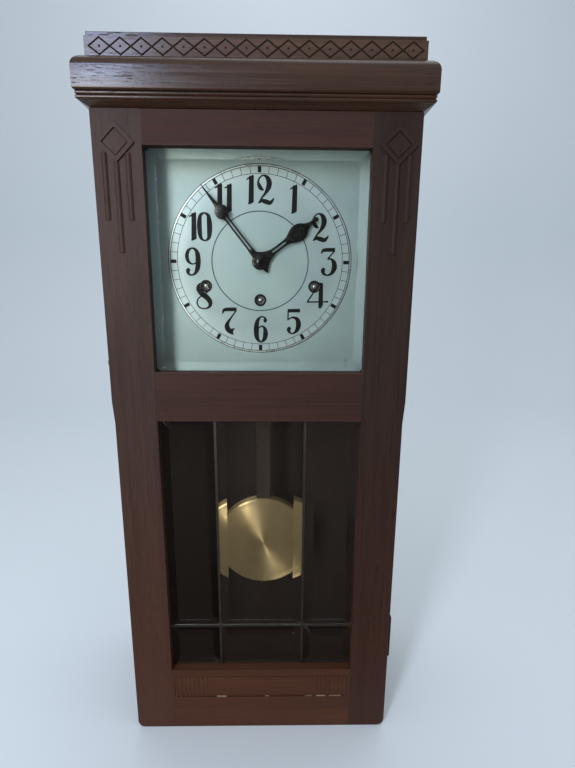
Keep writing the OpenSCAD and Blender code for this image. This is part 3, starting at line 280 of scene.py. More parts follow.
FRIEZE_HEIGHT, FRIEZE_DEPTH, FRIEZE_TOP = 15.2, 16.0, 0.1
frieze = eased("cornice_front", 0.25, cornice_oak)
frieze_low, frieze_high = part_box("cornice_front")
shade_painted_carving(frieze, (frieze_low.x, frieze_low.y, frieze_high.z - FRIEZE_HEIGHT * mm),
         (frieze_high.x, frieze_low.y + FRIEZE_DEPTH * mm, frieze_high.z - FRIEZE_TOP * mm),
         painted_shade_groove_oak, painted_light_frieze_oak)
eased("cornice_left", 0.4, return_oak)
eased("cornice_right", 0.4, return_oak)
eased("cap_board", 0.6, cornice_oak, worn_highlit_level)

# Door. Two stiles with carved diamonds and hanging reeds, and three rails with tenons,
# all of the same oak. The right stile's copy is painted darker, as shade, and low down the
# stiles and the bottom rail turn warmer, painted warm light from below. The arrises are
# rounded by wear and by many coats of wax.
# Both stiles turn warmer low down, painted warm light from below.
door_left_oak = oak("oak_left_stile", "Z", (50, 34, 29), (71, 50, 43), 29.0, 0.56,
                    warm_bounce=(92, 48, 24))
# The right stile's oak is darker than the left's: painted shade on the side away from the light.
shaded_right_stile_oak = oak("oak_right_stile_painted_shade", "Z", (38, 24, 18), (55, 37, 29), 31.0, 0.56,
                     warm_bounce=(76, 37, 18))
rail_oak = oak("oak_rails", "X", (50, 28, 21), (71, 41, 31), 37.0, 0.54)
eased("door_left_stile", 0.6, door_left_oak, worn_highlit_upright)
eased("door_right_stile", 0.6, shaded_right_stile_oak, worn_highlit_upright)
eased("door_top_rail", 0.6, rail_oak, worn_highlit_level)
eased("door_mid_rail", 0.6, rail_oak, worn_highlit_level)
# Pale spots on the bottom rail's ledge: worn wax, and painted glints of light.
BARE_GLINT_SPOTS = [(-53.0, -40.0, 43.0, 1.0), (4.0, 9.6, 43.0, 0.6), (51.0, 61.0, 43.0, 0.35),
              (64.0, 77.0, 43.0, 0.7), (79.0, 95.0, 43.0, 0.5)]
# The bottom rail's oak is warmer and lighter than the other rails': painted warm light from below.
bounce_lit_bottom_oak = oak("oak_bottom_rail_painted_bounce", "X", (64, 33, 17), (89, 49, 26), 43.0, bare_glints=BARE_GLINT_SPOTS)
eased("door_bottom_rail", 0.6, bounce_lit_bottom_oak)
eased("glazing_beads", 0.5, shaded_inner_oak)

# Glass. One bevelled plate in front of the dial and six smaller ones below, flat at the
# back, held by the beads. The bevels are ground and polished by hand, so they ripple a little.
GLASS_TINT = tint(247, 250, 249)
BEVEL_LEAST, BEVEL_MOST = 0.85, 0.97  # how much a bevel's face looks to the front


def polished_glass(name, matt=0.0):
    material, put = new_material(name)
    place = put("TexCoord").outputs["Object"]
    waves = noise(put, place, 14, 1)
    bump = put("Bump", {"Height": waves, "Strength": 0.05, "Distance": 0.4 * mm})
    solid = put("BsdfPrincipled", {"Base Color": GLASS_TINT, "Roughness": matt,
                                   "IOR": 1.5, "Transmission Weight": 1.0,
                                   "Normal": bump.outputs[0]})
    open_air = put("BsdfTransparent", {"Color": GLASS_TINT})
    path = put("LightPath")
    passing = put("Math", {0: path.outputs["Is Shadow Ray"], 1: path.outputs["Is Diffuse Ray"]},
                  operation="MAXIMUM")
    mixed = put("MixShader", {0: passing.outputs[0], 1: solid.outputs[0], 2: open_air.outputs[0]})
    put("OutputMaterial", {"Surface": mixed.outputs[0]})
    return material


plate_glass = polished_glass("plate_glass")
dial_pane = eased("upper_glass", 0.2, plate_glass, least=8)
dial_pane.data.materials.append(polished_glass("ground_glass", 0.16))
for face in dial_pane.data.polygons:
    if BEVEL_LEAST < -face.normal.y < BEVEL_MOST:
        face.material_index = len(dial_pane.data.materials) - 1
eased("lower_panes", 0.2, plate_glass, least=8)


# Cames. The strips that hold the lower panes are of plated metal, dull grey, and soldered
# where they cross. Years of polish have left their edges bright.
def metal(name, colour, roughness, grain=None, wear=0.5):
    """Worked metal: clouds of tarnish, fine scratches, and a slightly uneven polish."""
    material, put = new_material(name)
    place = put("TexCoord").outputs["Object"]
    clouds = spread(put, noise(put, place, 60, 4), 0.35, 0.7)
    along = stretched(put, grain, 0.03, 2.0) if grain else place
    scratches = noise(put, along, 2400 if grain else 900, 3, 0.7)
    shade = blend(put, times(put, clouds, wear), tint(*colour),
                  tint(*(c * 0.62 for c in colour)))
    bump = put("Bump", {"Height": scratches, "Strength": 0.12, "Distance": 0.04 * mm})
    rough = spread(put, plus(put, times(put, clouds, 0.6), times(put, scratches, 0.5)),
                   0.2, 0.9, roughness * 0.8, roughness * 1.3)
    shader = put("BsdfPrincipled", {"Base Color": shade, "Metallic": 1.0, "Roughness": rough,
                                    "Normal": bump.outputs[0]})
    put("OutputMaterial", {"Surface": shader.outputs[0]})
    return material


came_metal = metal("came_metal", (122, 119, 114), 0.4, wear=0.7)
eased("cames", 0.3, came_metal)

# Hinges and latch. Pressed and turned brass, lacquered, let into the stile and the side,
# with slotted countersunk screws. The hook swings up over a stud in the door's edge.
def dressed(node, material):
    """Gives a part its finish as it stands."""
    nodes[node].data.materials.clear()
    nodes[node].data.materials.append(material)


fitting_brass = metal("fitting_brass", (120, 96, 58), 0.36, wear=0.8)
# The hinges' brass is darker than the latch's: painted shade, so that they sit dark at the shaded
# side of the case.
hinge_brass_shaded = metal("hinge_brass_shaded", (74, 58, 42), 0.5, wear=0.8)
for part in ("hinge_door_leaves", "hinge_case_leaves", "hinge_pins"):
    eased(part, 0.25, hinge_brass_shaded)
for part in ("latch_hook", "latch_stud", "latch_screw"):
    eased(part, 0.25, fitting_brass)
for part in ("hinge_door_screws", "hinge_case_screws"):
    dressed(part, hinge_brass_shaded)


# Movement. Two brass plates with turned steel pillars, brass barrels and wheels, and steel
# arbors, squares and clicks. The brass is lacquered and the steel is left bright.
plate_brass = metal("plate_brass", (190, 158, 92), 0.34, "X")
wheel_brass = metal("wheel_brass", (200, 168, 100), 0.28)
bright_steel = metal("bright_steel", (206, 208, 212), 0.26)
for part in ("front_plate", "back_plate"):
    dressed(part, plate_brass)
for part in ("time_barrel", "strike_barrel", "chime_barrel", "second_wheel", "centre_wheel",
             "third_wheel", "escape_wheel", "minute_wheel", "hour_wheel"):
    dressed(part, wheel_brass)
for part in ("time_arbor", "strike_arbor", "chime_arbor"):
    eased(part, 0.4, bright_steel)
for part in ("pillars", "pillar_nuts", "clicks", "pallet_anchor", "cannon_pinion"):
    dressed(part, bright_steel)

# Gong and hammers. Four tuned steel rods in an iron block on the back board, and a gang of
# four hammers on wires, which the movement lifts and lets fall.
dark_steel = metal("dark_steel", (74, 76, 80), 0.4)
dressed("gong_block", dark_steel)
dressed("hammers", bright_steel)

# Hanger and screws. A steel plate with a hole, let into the back, by which the clock hangs.
# Dark steel screws hold it, the gong's block and the seat board.
for part in ("hanger_plate", "case_screws"):
    dressed(part, dark_steel)


# Dial. A square brass plate, silvered to a matt grey. The ring with the numbers is brushed
# in circles, and polished towards its edge, where it is more metallic and its colour is
# painted lighter, a painted sheen.
def axis_of(node, depth):
    """Where the line about which a round part turns passes a depth."""
    low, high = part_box(node)
    return Vector(((low.x + high.x) / 2, depth, (low.z + high.z) / 2))


dial_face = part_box("dial_plate")[0].y
centre = axis_of("hand_nut", dial_face)
INNER_CIRCLE = 49.0
RING_EDGE = 92.0
POLISH_SHEEN_FROM, POLISH_SHEEN_TO = 68.0, 88.0
# Old marks on the dial: place from its centre, size in millimetres, strength and colour.
STAINS = [(-16.1, 30.3, 1.6, 0.55, (110, 128, 120)), (9.4, -35.2, 0.7, 0.9, (60, 66, 62)),
          (91.0, -101.0, 6.5, 0.35, (88, 104, 98)), (-70.0, -26.0, 9.0, 0.22, (176, 178, 160)),
          (-36.0, 101.0, 14.0, 0.25, (168, 172, 160)), (-98.0, -104.0, 3.0, 0.3, (120, 128, 120))]


def silvered(name):
    material, put = new_material(name)
    place = put("TexCoord").outputs["Object"]
    offset = put("VectorMath", {0: place, 1: tuple(centre)}, operation="SUBTRACT").outputs[0]
    level = put("VectorMath", {0: offset, 1: (1, 0, 1)}, operation="MULTIPLY").outputs[0]
    radius = put("VectorMath", {0: level}, operation="LENGTH").outputs["Value"]
    ring = times(put, spread(put, radius, (INNER_CIRCLE - 0.3) * mm, (INNER_CIRCLE + 0.3) * mm),
                 spread(put, radius, (RING_EDGE + 0.2) * mm, (RING_EDGE - 0.2) * mm))
    clouds = spread(put, noise(put, place, 22, 4), 0.3, 0.75)
    specks = spread(put, noise(put, place, 330, 2), 0.72, 0.8)
    grit = noise(put, place, 2600, 3, 0.7)
    turning = noise(put, put("CombineXYZ", {0: radius, 1: 0.0, 2: 0.0}).outputs[0], 1700, 3, 0.7)
    plain = blend(put, clouds, tint(154, 171, 168), tint(144, 161, 158))
    brushed = blend(put, clouds, tint(156, 171, 169), tint(145, 160, 158))
    colour = blend(put, ring, plain, brushed)
    polish_and_sheen = times(put, ring, spread(put, radius, POLISH_SHEEN_FROM * mm, POLISH_SHEEN_TO * mm))
    # Towards the ring's edge the colour is painted lighter, a painted sheen; the metal there is
    # also made more metallic.
    colour = blend(put, times(put, polish_and_sheen, 0.7), colour, tint(172, 185, 185))
    colour = blend(put, times(put, specks, 0.4), colour, tint(96, 104, 98))
    for x, z, size, share, stain in STAINS:
        reach = put("VectorMath", {0: level, 1: (x * mm, 0, z * mm)}, operation="DISTANCE")
        uneven = plus(put, reach.outputs["Value"], times(put, noise(put, place, 260, 3), size * mm))
        mark = spread(put, uneven, size * 1.1 * mm, size * 0.6 * mm, 0.0, share)
        colour = blend(put, mark, colour, tint(*stain))
    height = plus(put, times(put, grit, 0.6), times(put, times(put, turning, ring), 1.2))
    bump = put("Bump", {"Height": height, "Strength": 0.18, "Distance": 0.05 * mm})
    rough = spread(put, grit, 0.3, 0.7, 0.42, 0.52)
    shader = put("BsdfPrincipled", {"Base Color": colour, "Roughness": rough,
                                    "Metallic": plus(put, times(put, polish_and_sheen, 0.2), 0.25),
                                    "Normal": bump.outputs[0]})
    put("OutputMaterial", {"Surface": shader.outputs[0]})
    return material


dressed("dial_plate", silvered("dial_silver"))


# Printing on the dial: numbers, minute track and circles, in black ink that stands a few
# hundredths of a millimetre proud of the silvering.
INK_HEIGHT = 0.06
LAYER = 0.004  # strokes that cross lie this much above each other


def ink(name, colour, roughness):
    material, put = new_material(name)
    place = put("TexCoord").outputs["Object"]
    mottle = noise(put, place, 700, 3)
    shade = blend(put, mottle, tint(*colour), tint(*(c * 1.3 + 3 for c in colour)))
    bump = put("Bump", {"Height": mottle, "Strength": 0.1, "Distance": 0.03 * mm})
    shader = put("BsdfPrincipled", {"Base Color": shade, "Roughness": roughness,
                                    "Specular IOR Level": 0.08, "Normal": bump.outputs[0]})
    put("OutputMaterial", {"Surface": shader.outputs[0]})
    return material


def on_dial(x, z, height):
    """A point on the dial, in millimetres from its centre and in front of its face."""
    return centre + Vector((x, -height, z)) * mm


def slab(shape, left, right, height):
    """A thin closed strip between two rows of points, lying on the dial."""
    rows = [[shape.verts.new(on_dial(x, z, h)) for x, z in row]
            for h in (height, 0.0) for row in (left, right)]
    top_left, top_right, low_left, low_right = rows
    for i in range(len(left) - 1):
        for a, b in ((top_left, top_right), (low_right, low_left), (low_left, top_left),
                     (top_right, low_right)):
            shape.faces.new((a[i], a[i + 1], b[i + 1], b[i]))
    for i, turn in ((0, 1), (-1, -1)):
        shape.faces.new([top_left[i], top_right[i], low_right[i], low_left[i]][::turn])


def through(points):
    """Points on a smooth curve through the given ones (x, z and width)."""
    ends = [points[0], *points, points[-1]]
    steps = 6
    found = []
    for a, b, c, d in zip(ends, ends[1:], ends[2:], ends[3:]):
        for i in range(steps):
            t = i / steps
            found.append([0.5 * (2 * q + (r - p) * t + (2 * p - 5 * q + 4 * r - s) * t ** 2
                                 + (3 * q - p - 3 * r + s) * t ** 3)
                          for p, q, r, s in zip(a, b, c, d)])
    return found + [list(points[-1])]


def stroke(shape, points, x, z, height, spare=0.0):
    """A pen stroke of changing width. Its points are x, z and width; spare is added all round."""
    line = through(points) if len(points) > 2 else points
    left, right = [], []
    for i, (px, pz, width) in enumerate(line):
        before, after = line[max(i - 1, 0)], line[min(i + 1, len(line) - 1)]
        run = Vector((after[0] - before[0], after[1] - before[1])).normalized()
        half = max(width, 0.3) / 2 + spare
        left.append((x + px - run.y * half, z + pz + run.x * half))
        right.append((x + px + run.y * half, z + pz - run.x * half))
    slab(shape, left, right, height)


def ring(shape, radius, width, height, steps=180):
    turns = [2 * math.pi * i / steps for i in range(steps + 1)]
    rows = [[(r * math.sin(t), r * math.cos(t)) for t in turns]
            for r in (radius - width / 2, radius + width / 2)]
    slab(shape, *rows, height)


# Each digit is drawn from its lower left corner with a few pen strokes, 27.7 mm high. A
# stroke's points are x, z and width, and the ink spreads a little past them.
INK_SPREAD = 0.25
DIGITS = {
    "1": [[(0.3, 23.2, 0.7), (7.3, 26.9, 1.7)], [(5.2, 26.6, 4.2), (4.6, 2.9, 4.7)],
          [(4.8, 3.4, 4.6), (1.9, 0.4, 0.6)], [(4.2, 3.6, 3.4), (7.2, 2.6, 0.6)]],
    "2": [[(6.9, 13.6, 0.5), (4.2, 15.0, 3.2), (2.3, 17.9, 3.2), (1.5, 21.8, 1.5),
           (3.6, 25.7, 1.0), (6.9, 27.1, 1.2), (10.4, 25.0, 3.6), (12.2, 20.4, 4.9),
           (11.2, 15.4, 4.2), (8.2, 10.5, 2.2), (4.8, 6.3, 1.2), (2.2, 2.2, 1.0)],
          [(1.3, 1.1, 0.5), (4.5, 3.6, 2.8), (8.6, 2.9, 4.0), (12.7, 1.9, 3.6),
           (15.3, 3.9, 2.0), (16.9, 6.3, 0.4)]],
    "3": [[(0.8, 21.9, 0.4), (1.8, 24.9, 2.2), (5.2, 25.8, 3.2), (14.4, 26.0, 3.3)],
          [(14.2, 25.2, 1.0), (7.1, 17.0, 1.0)],
          [(7.0, 16.6, 0.9), (10.8, 16.8, 1.6), (13.6, 13.2, 4.2), (14.0, 7.8, 4.8),
           (11.4, 2.8, 2.8), (7.1, 0.8, 1.2), (3.4, 2.5, 2.6), (2.4, 5.6, 3.6),
           (4.4, 7.4, 2.6)]],
    "4": [[(14.4, 26.0, 3.6), (14.5, 2.4, 4.4)], [(14.7, 2.6, 4.2), (12.9, 0.3, 1.6)],
          [(13.8, 26.4, 1.0), (0.6, 6.8, 1.0)], [(0.0, 6.5, 1.0), (21.3, 6.8, 1.0)],
          [(21.2, 5.9, 1.3), (21.5, 7.9, 1.3)]],
    "5": [[(1.1, 24.4, 3.2), (14.0, 24.6, 3.3)], [(1.6, 24.4, 1.0), (1.4, 14.6, 1.0)],
          [(1.4, 15.0, 0.9), (5.6, 17.4, 1.3), (10.6, 16.0, 3.4), (12.4, 11.4, 4.8),
           (11.8, 6.0, 4.2), (9.0, 1.9, 2.2), (5.6, 0.7, 1.1), (2.9, 2.4, 2.4),
           (2.3, 5.2, 3.5), (4.1, 6.9, 2.4)]],
    "6": [[(10.6, 22.4, 2.6), (12.4, 23.2, 3.2), (12.2, 25.4, 1.8), (9.8, 27.0, 1.0),
           (6.8, 26.2, 1.6), (3.9, 21.6, 3.8), (2.9, 13.4, 5.0), (3.8, 4.6, 3.9),
           (7.5, 0.7, 1.4), (11.4, 3.9, 3.8), (12.6, 9.6, 4.6), (11.6, 15.0, 2.8),
           (8.4, 17.2, 1.0), (4.6, 14.6, 1.0)]],
    "7": [[(0.6, 21.7, 0.4), (1.8, 25.2, 2.4), (5.0, 26.1, 3.3), (15.2, 26.3, 3.3)],
          [(14.8, 25.2, 1.0), (9.2, 17.6, 1.3), (5.8, 12.4, 3.0), (4.9, 8.4, 4.8),
           (6.4, 4.8, 5.0), (9.6, 2.9, 4.4), (10.9, 2.4, 3.4)],
          [(8.6, 4.4, 3.2), (13.0, 6.2, 0.5)], [(8.8, 2.4, 3.6), (11.6, 0.0, 0.5)]],
    "8": [[(7.9, 27.0, 1.0), (4.3, 24.7, 2.6), (3.3, 20.6, 4.2), (6.8, 15.9, 5.0),
           (12.0, 11.8, 5.0), (15.0, 7.0, 4.2), (13.8, 2.6, 2.2), (9.1, 0.6, 1.0),
           (3.8, 2.0, 1.1), (1.4, 6.5, 1.1), (3.1, 11.1, 1.0), (8.0, 14.8, 0.9),
           (12.8, 17.9, 1.0), (14.6, 22.4, 1.1), (12.4, 26.0, 1.0), (7.9, 27.0, 1.0)]],
    "9": [[(11.4, 13.0, 0.9), (7.6, 11.6, 1.0), (3.6, 14.0, 2.6), (2.1, 19.4, 3.4),
           (3.8, 24.8, 2.6), (7.8, 27.1, 1.2), (11.4, 25.2, 2.8), (13.1, 20.4, 4.4),
           (13.3, 13.5, 4.8), (12.2, 6.6, 4.2), (9.2, 1.8, 2.0), (5.4, 0.7, 1.2),
           (2.9, 2.4, 2.4), (2.7, 5.2, 3.5), (4.5, 6.8, 2.4)]],
    "0": [[(7.2, 27.1, 1.0), (3.4, 24.6, 2.8), (2.2, 18.0, 4.2), (2.2, 9.5, 4.2),
           (3.4, 3.0, 2.8), (7.2, 0.5, 1.0), (11.0, 3.0, 3.0), (12.1, 9.5, 4.6),
           (12.1, 18.0, 4.6), (11.0, 24.6, 3.0), (7.2, 27.1, 1.0)]],
}
DIGIT_HEIGHT = 27.7
# The middle of each number, in millimetres from the dial's centre, and the places of its
# digits from its left edge.
NUMBERS = [("1", 33.6, 60.4, 7.9, (0,)), ("2", 61.0, 33.8, 17.6, (0,)),
           ("3", 70.2, 0.3, 16.8, (0,)), ("4", 59.2, -32.6, 21.9, (0,)),
           ("5", 34.8, -59.6, 14.8, (0,)), ("6", 0.2, -68.6, 15.0, (0,)),
           ("7", -32.2, -60.4, 15.4, (0,)), ("8", -58.2, -34.2, 17.4, (0,)),
           ("9", -68.5, -0.3, 15.6, (0,)), ("10", -59.6, 33.8, 22.6, (0, 8.3)),
           ("11", -35.6, 60.7, 17.6, (0, 9.4)), ("12", 0.6, 68.9, 27.6, (0, 10.4))]
digits = bmesh.new()
for label, x, z, width, starts in NUMBERS:
    for letter, start in zip(label, starts):
        for layer, points in enumerate(DIGITS[letter]):
            stroke(digits, points, x - width / 2 + start, z - DIGIT_HEIGHT / 2,
                   INK_HEIGHT + LAYER * layer, INK_SPREAD)
black_ink = ink("black_ink", (9, 12, 13), 0.5)
own_piece("dial_numbers", mesh_of("dial_numbers", digits), "case", "silvered", black_ink)

TRACK_INNER = 83.9
TRACK_OUTER = 90.9
# A tick is a thin line across the track, and a block marks each fifth minute: width, length,
# and the middle's distance from the dial's centre.
TICK = (0.5, TRACK_OUTER - TRACK_INNER, (TRACK_OUTER + TRACK_INNER) / 2)
BLOCK = (3.5, 5.6, 87.7)
track = bmesh.new()
for radius, width in ((TRACK_INNER, 0.5), (TRACK_OUTER, 0.6), (RING_EDGE + 0.9, 0.6)):
    ring(track, radius, width, INK_HEIGHT)
for minute in range(60):
    turn = math.radians(6 * minute)
    width, length, middle = TICK if minute % 5 else BLOCK
    ends = [(far * math.sin(turn), far * math.cos(turn), width)
            for far in (middle - length / 2, middle + length / 2)]
    stroke(track, ends, 0, 0, INK_HEIGHT + LAYER)
own_piece("minute_track", mesh_of("minute_track", track), "case", "silvered", black_ink)

circle = bmesh.new()
ring(circle, INNER_CIRCLE, 1.0, INK_HEIGHT)
own_piece("inner_circle", mesh_of("inner_circle", circle), "case", "silvered",
          ink("grey_green_ink", (40, 56, 58), 0.45))

# A thin bead of bare silver stands at the edge of the printed ring.
BEAD_WIDTH, BEAD_HEIGHT = 0.8, 0.22
rim = bmesh.new()
ring(rim, RING_EDGE, BEAD_WIDTH, BEAD_HEIGHT)
own_piece("raised_ring", mesh_of("raised_ring", rim), "case", "silvered",
          metal("ring_silver", (214, 222, 222), 0.3))


# Winding collets. Turned rings, blackened and polished, pressed into the dial's three holes.
# The bright winding squares show inside them.
SHARP = math.radians(35)


def turned(name, profile, place, body, slot, material, steps=72, start=0.0):
    """A piece turned on a lathe about a line from front to back, closed, from its half section
    (radius, and depth behind the place, in millimetres). Four steps make it square."""
    shape = bmesh.new()
    rows = []
    for i in range(steps):
        turn = 2 * math.pi * i / steps + math.radians(start)
        rows.append([shape.verts.new(place + mm * Vector((r * math.cos(turn), d,
                                                          r * math.sin(turn))))
                     for r, d in profile])
    for row, following in zip(rows, rows[1:] + rows[:1]):
        for i in range(len(profile)):
            j = (i + 1) % len(profile)
            if profile[i][0] or profile[j][0]:
                shape.faces.new((row[i], row[j], following[j], following[i]))
    bmesh.ops.remove_doubles(shape, verts=shape.verts, dist=0.001 * mm)
    bmesh.ops.recalc_face_normals(shape, faces=shape.faces)
    made = mesh_of(name, shape)
    made.shade_smooth()
    made.set_sharp_from_angle(angle=SHARP)
    return own_piece(name, made, body, slot, material)


def lacquer(name, colour, roughness, shine=0.5):
    """Blackened metal under a thin polish, with faint marks of handling."""
    material, put = new_material(name)
    place = put("TexCoord").outputs["Object"]
    marks = noise(put, place, 420, 4, 0.6)
    shade = blend(put, spread(put, marks, 0.45, 0.75), tint(*colour),
                  tint(*(c * 1.5 + 5 for c in colour)))
    bump = put("Bump", {"Height": marks, "Strength": 0.12, "Distance": 0.05 * mm})
    shader = put("BsdfPrincipled", {"Base Color": shade, "Normal": bump.outputs[0],
                                    "Specular IOR Level": shine,
                                    "Roughness": spread(put, marks, 0.3, 0.7, roughness - 0.06,
                                                        roughness + 0.08)})
    put("OutputMaterial", {"Surface": shader.outputs[0]})
    return material


black_polish = lacquer("black_polish", (8, 9, 10), 0.2)
COLLET = [(4.25, -0.35), (4.6, -0.75), (5.2, -0.95), (5.7, -0.85), (6.1, -0.5), (6.25, -0.02),
          (5.15, 0.0), (5.15, 1.9), (4.25, 1.9)]
holes = [axis_of(part, dial_face) for part in ("time_arbor", "strike_arbor", "chime_arbor")]
for number, place in enumerate(holes, 1):
    collet = turned("winding_collet_%d" % number, COLLET, place, "case", "blackened",
                    black_polish)
    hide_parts("winding_collets")
# The squares' ends are filed to a low dome, so that the key slips on.
SQUARE = [(0.0, -1.75), (0.9, -1.66), (1.7, -1.4), (2.3, -0.95), (2.6, -0.4), (2.6, 1.6),
          (0.0, 1.6)]
square_steel = metal("square_steel", (226, 228, 230), 0.2)
for body, place in zip(("time_key_arbor", "strike_key_arbor", "chime_key_arbor"), holes):
    turned("square_of_" + body, SQUARE, place, body, "steel", square_steel, 4, 45.0)


# Hands. Pierced sheet steel with rounded edges, blackened. The hour hand carries two
# pointed ears at its base, and raised lines follow the edge of its wide part.
HAND_THICK, HAND_ROUNDING, HUB_RADIUS = 0.8, 0.25, 8.0
MINUTE_ANGLE, HOUR_ANGLE = -38.4, 53.7
black_steel = lacquer("black_steel", (7, 9, 11), 0.24, 0.25)


def pierced(name, node, loops, angle):
    """A hand cut from sheet to outlines in millimetres, drawn pointing up and turned
    clockwise, with rounded edges. It stands for a part, in the middle of its thickness."""
    sheet = bpy.data.curves.new(name + "_outline", "CURVE")
    sheet.dimensions = "2D"
    sheet.fill_mode = "BOTH"
    sheet.extrude = (HAND_THICK / 2 - HAND_ROUNDING) * mm
    sheet.bevel_depth = HAND_ROUNDING * mm
    sheet.bevel_resolution = 2
    sheet.offset = -HAND_ROUNDING * mm
    for loop in loops:
        line = sheet.splines.new("POLY")
        line.points.add(len(loop) - 1)
        for point, (x, z) in zip(line.points, loop):
            point.co = (x * mm, z * mm, 0, 1)
        line.use_cyclic_u = True
    holder = bpy.data.objects.new(name + "_outline", sheet)
    bpy.context.scene.collection.objects.link(holder)
    bpy.context.view_layer.update()
    flat = bpy.data.meshes.new_from_object(holder.evaluated_get(
        bpy.context.evaluated_depsgraph_get()))
    bpy.data.objects.remove(holder)
    stand = Matrix.Rotation(math.radians(90), 4, "X")
    swing = Matrix.Rotation(math.radians(angle), 4, "Y")
    low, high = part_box(node)
    place = Vector((centre.x, (low.y + high.y) / 2, centre.z))
    flat.transform(Matrix.Translation(place) @ swing @ stand)
    flat.name = name
    tidy = bmesh.new()
    tidy.from_mesh(flat)
    bmesh.ops.remove_doubles(tidy, verts=tidy.verts, dist=0.002 * mm)
    bmesh.ops.recalc_face_normals(tidy, faces=tidy.faces)
    tidy.to_mesh(flat)
    tidy.free()
    flat.shade_smooth()
    flat.set_sharp_from_angle(angle=SHARP)
    piece = own_piece(name, flat, nodes[node]["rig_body"], "blackened", black_steel)
    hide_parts(node)


def both_edges(right):
    """A closed outline from the points of its right edge, from bottom to top."""
    return right + [(-x, z) for x, z in reversed(right)]


def hub(end, steps):
    """The hub's edge, from straight down to an angle in degrees clockwise from straight up."""
    turns = [math.radians(180 + (end - 180) * i / steps) for i in range(steps + 1)]
    return [(HUB_RADIUS * math.sin(t), HUB_RADIUS * math.cos(t)) for t in turns]


minute_edge = hub(24, 16) + [
    (3.15, 11.0), (2.95, 13.5), (2.5, 16.5), (2.45, 51.0), (3.1, 53.2), (5.2, 55.2), (6.6, 57.6),
    (7.0, 60.3), (6.6, 62.8), (5.0, 65.0), (2.9, 66.6), (2.05, 68.6), (1.2, 80.0), (0.28, 92.6)]
minute_slot = [(0.8, 15.4), (0.8, 52.6), (0.0, 53.6), (-0.8, 52.6), (-0.8, 15.4), (0.0, 14.6)]
pierced("minute_hand_cut", "minute_hand", [both_edges(minute_edge), minute_slot], MINUTE_ANGLE)
hour_edge = hub(106, 8) + [
    (10.4, -1.5), (13.7, -0.2), (13.7, 0.25), (10.6, 2.4), (8.0, 5.4), (5.8, 8.8), (4.2, 12.4),
    (3.3, 16.0), (3.0, 20.0), (3.0, 31.5), (3.6, 34.6), (5.0, 38.0), (7.0, 41.6), (8.2, 45.2),
    (8.4, 48.6), (7.8, 51.8), (6.2, 54.8), (4.3, 57.0), (2.8, 59.6), (2.0, 62.6), (1.7, 66.0),
    (1.6, 67.6), (2.05, 68.5), (2.2, 69.8), (1.6, 71.3), (0.6, 71.9)]
hour_slot = [(0.9, 16.4), (0.9, 31.6), (0.0, 33.0), (-0.9, 31.6), (-0.9, 16.4), (0.0, 15.2)]
pierced("hour_hand_cut", "hour_hand", [both_edges(hour_edge), hour_slot], HOUR_ANGLE)
# Two raised lines run on each side of the wide part, drawn here as strokes: x, z and width.
rims = bmesh.new()
LINE_HEIGHT, LINE_STEP = 0.35, 1.3
LINE = [(4.2, 39.4, 0.5), (5.9, 43.0, 0.5), (6.7, 46.2, 0.5), (6.7, 49.2, 0.5), (6.0, 52.0, 0.5),
        (4.7, 54.2, 0.5)]
for side in (-1, 1):
    for inset in (0.0, LINE_STEP):
        stroke(rims, [(side * (x - inset), z, w) for x, z, w in LINE], 0, 0, LINE_HEIGHT)
bmesh.ops.translate(rims, vec=-centre, verts=rims.verts)
hour_front = Vector((centre.x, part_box("hour_hand")[0].y, centre.z))
bmesh.ops.transform(rims, verts=rims.verts, matrix=Matrix.Translation(hour_front)
                    @ Matrix.Rotation(math.radians(HOUR_ANGLE), 4, "Y"))
own_piece("hour_hand_lines", mesh_of("hour_hand_lines", rims), "hour", "blackened", black_steel)
# The nut is turned steel, darkened, and holds the minute hand on its arbor.
NUT = [(0.0, -2.2), (1.6, -2.15), (2.6, -1.9), (2.9, -1.4), (2.9, -0.8), (3.3, -0.7), (3.4, -0.3),
       (3.4, 0.0), (0.0, 0.0)]
nut_place = Vector((centre.x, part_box("minute_hand")[0].y, centre.z))
nut_steel = metal("nut_steel", (52, 54, 56), 0.24)
hand_nut = turned("hand_nut_turned", NUT, nut_place, "minute", "steel", nut_steel)
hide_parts("hand_nut")

# Pendulum. A steel spring, a flat rod of dark hardwood between brass fittings, and a bob of
# spun brass, gently domed, with a turned bead at its edge. The rod slides in the bob's slot.
dressed("suspension_spring", bright_steel)
eased("rod_fittings", 0.25, fitting_brass)
rod_wood = oak("rod_wood", "Z", (47, 34, 29), (64, 48, 41), 41.0, 0.42, 0.5)
eased("pendulum_rod", 0.5, rod_wood)


def spun_brass(name):
    material, put = new_material(name)
    place = put("TexCoord").outputs["Object"]
    tarnish = spread(put, noise(put, place, 35, 4), 0.35, 0.75)
    fine = noise(put, place, 1500, 2)
    colour = blend(put, times(put, tarnish, 0.5), tint(190, 163, 115), tint(165, 138, 93))
    rough = spread(put, plus(put, times(put, tarnish, 0.5), times(put, fine, 0.4)), 0.2, 0.8,
                   0.34, 0.4)
    bump = put("Bump", {"Height": fine, "Strength": 0.06, "Distance": 0.03 * mm})
    lathe = put("Tangent", direction_type="RADIAL", axis="Y")
    shader = put("BsdfPrincipled", {"Base Color": colour, "Metallic": 0.7, "Roughness": rough,
                                    "Anisotropic": 0.96, "Anisotropic Rotation": 0.25,
                                    "Normal": bump.outputs[0], "Tangent": lathe.outputs[0]})
    put("OutputMaterial", {"Surface": shader.outputs[0]})
    return material


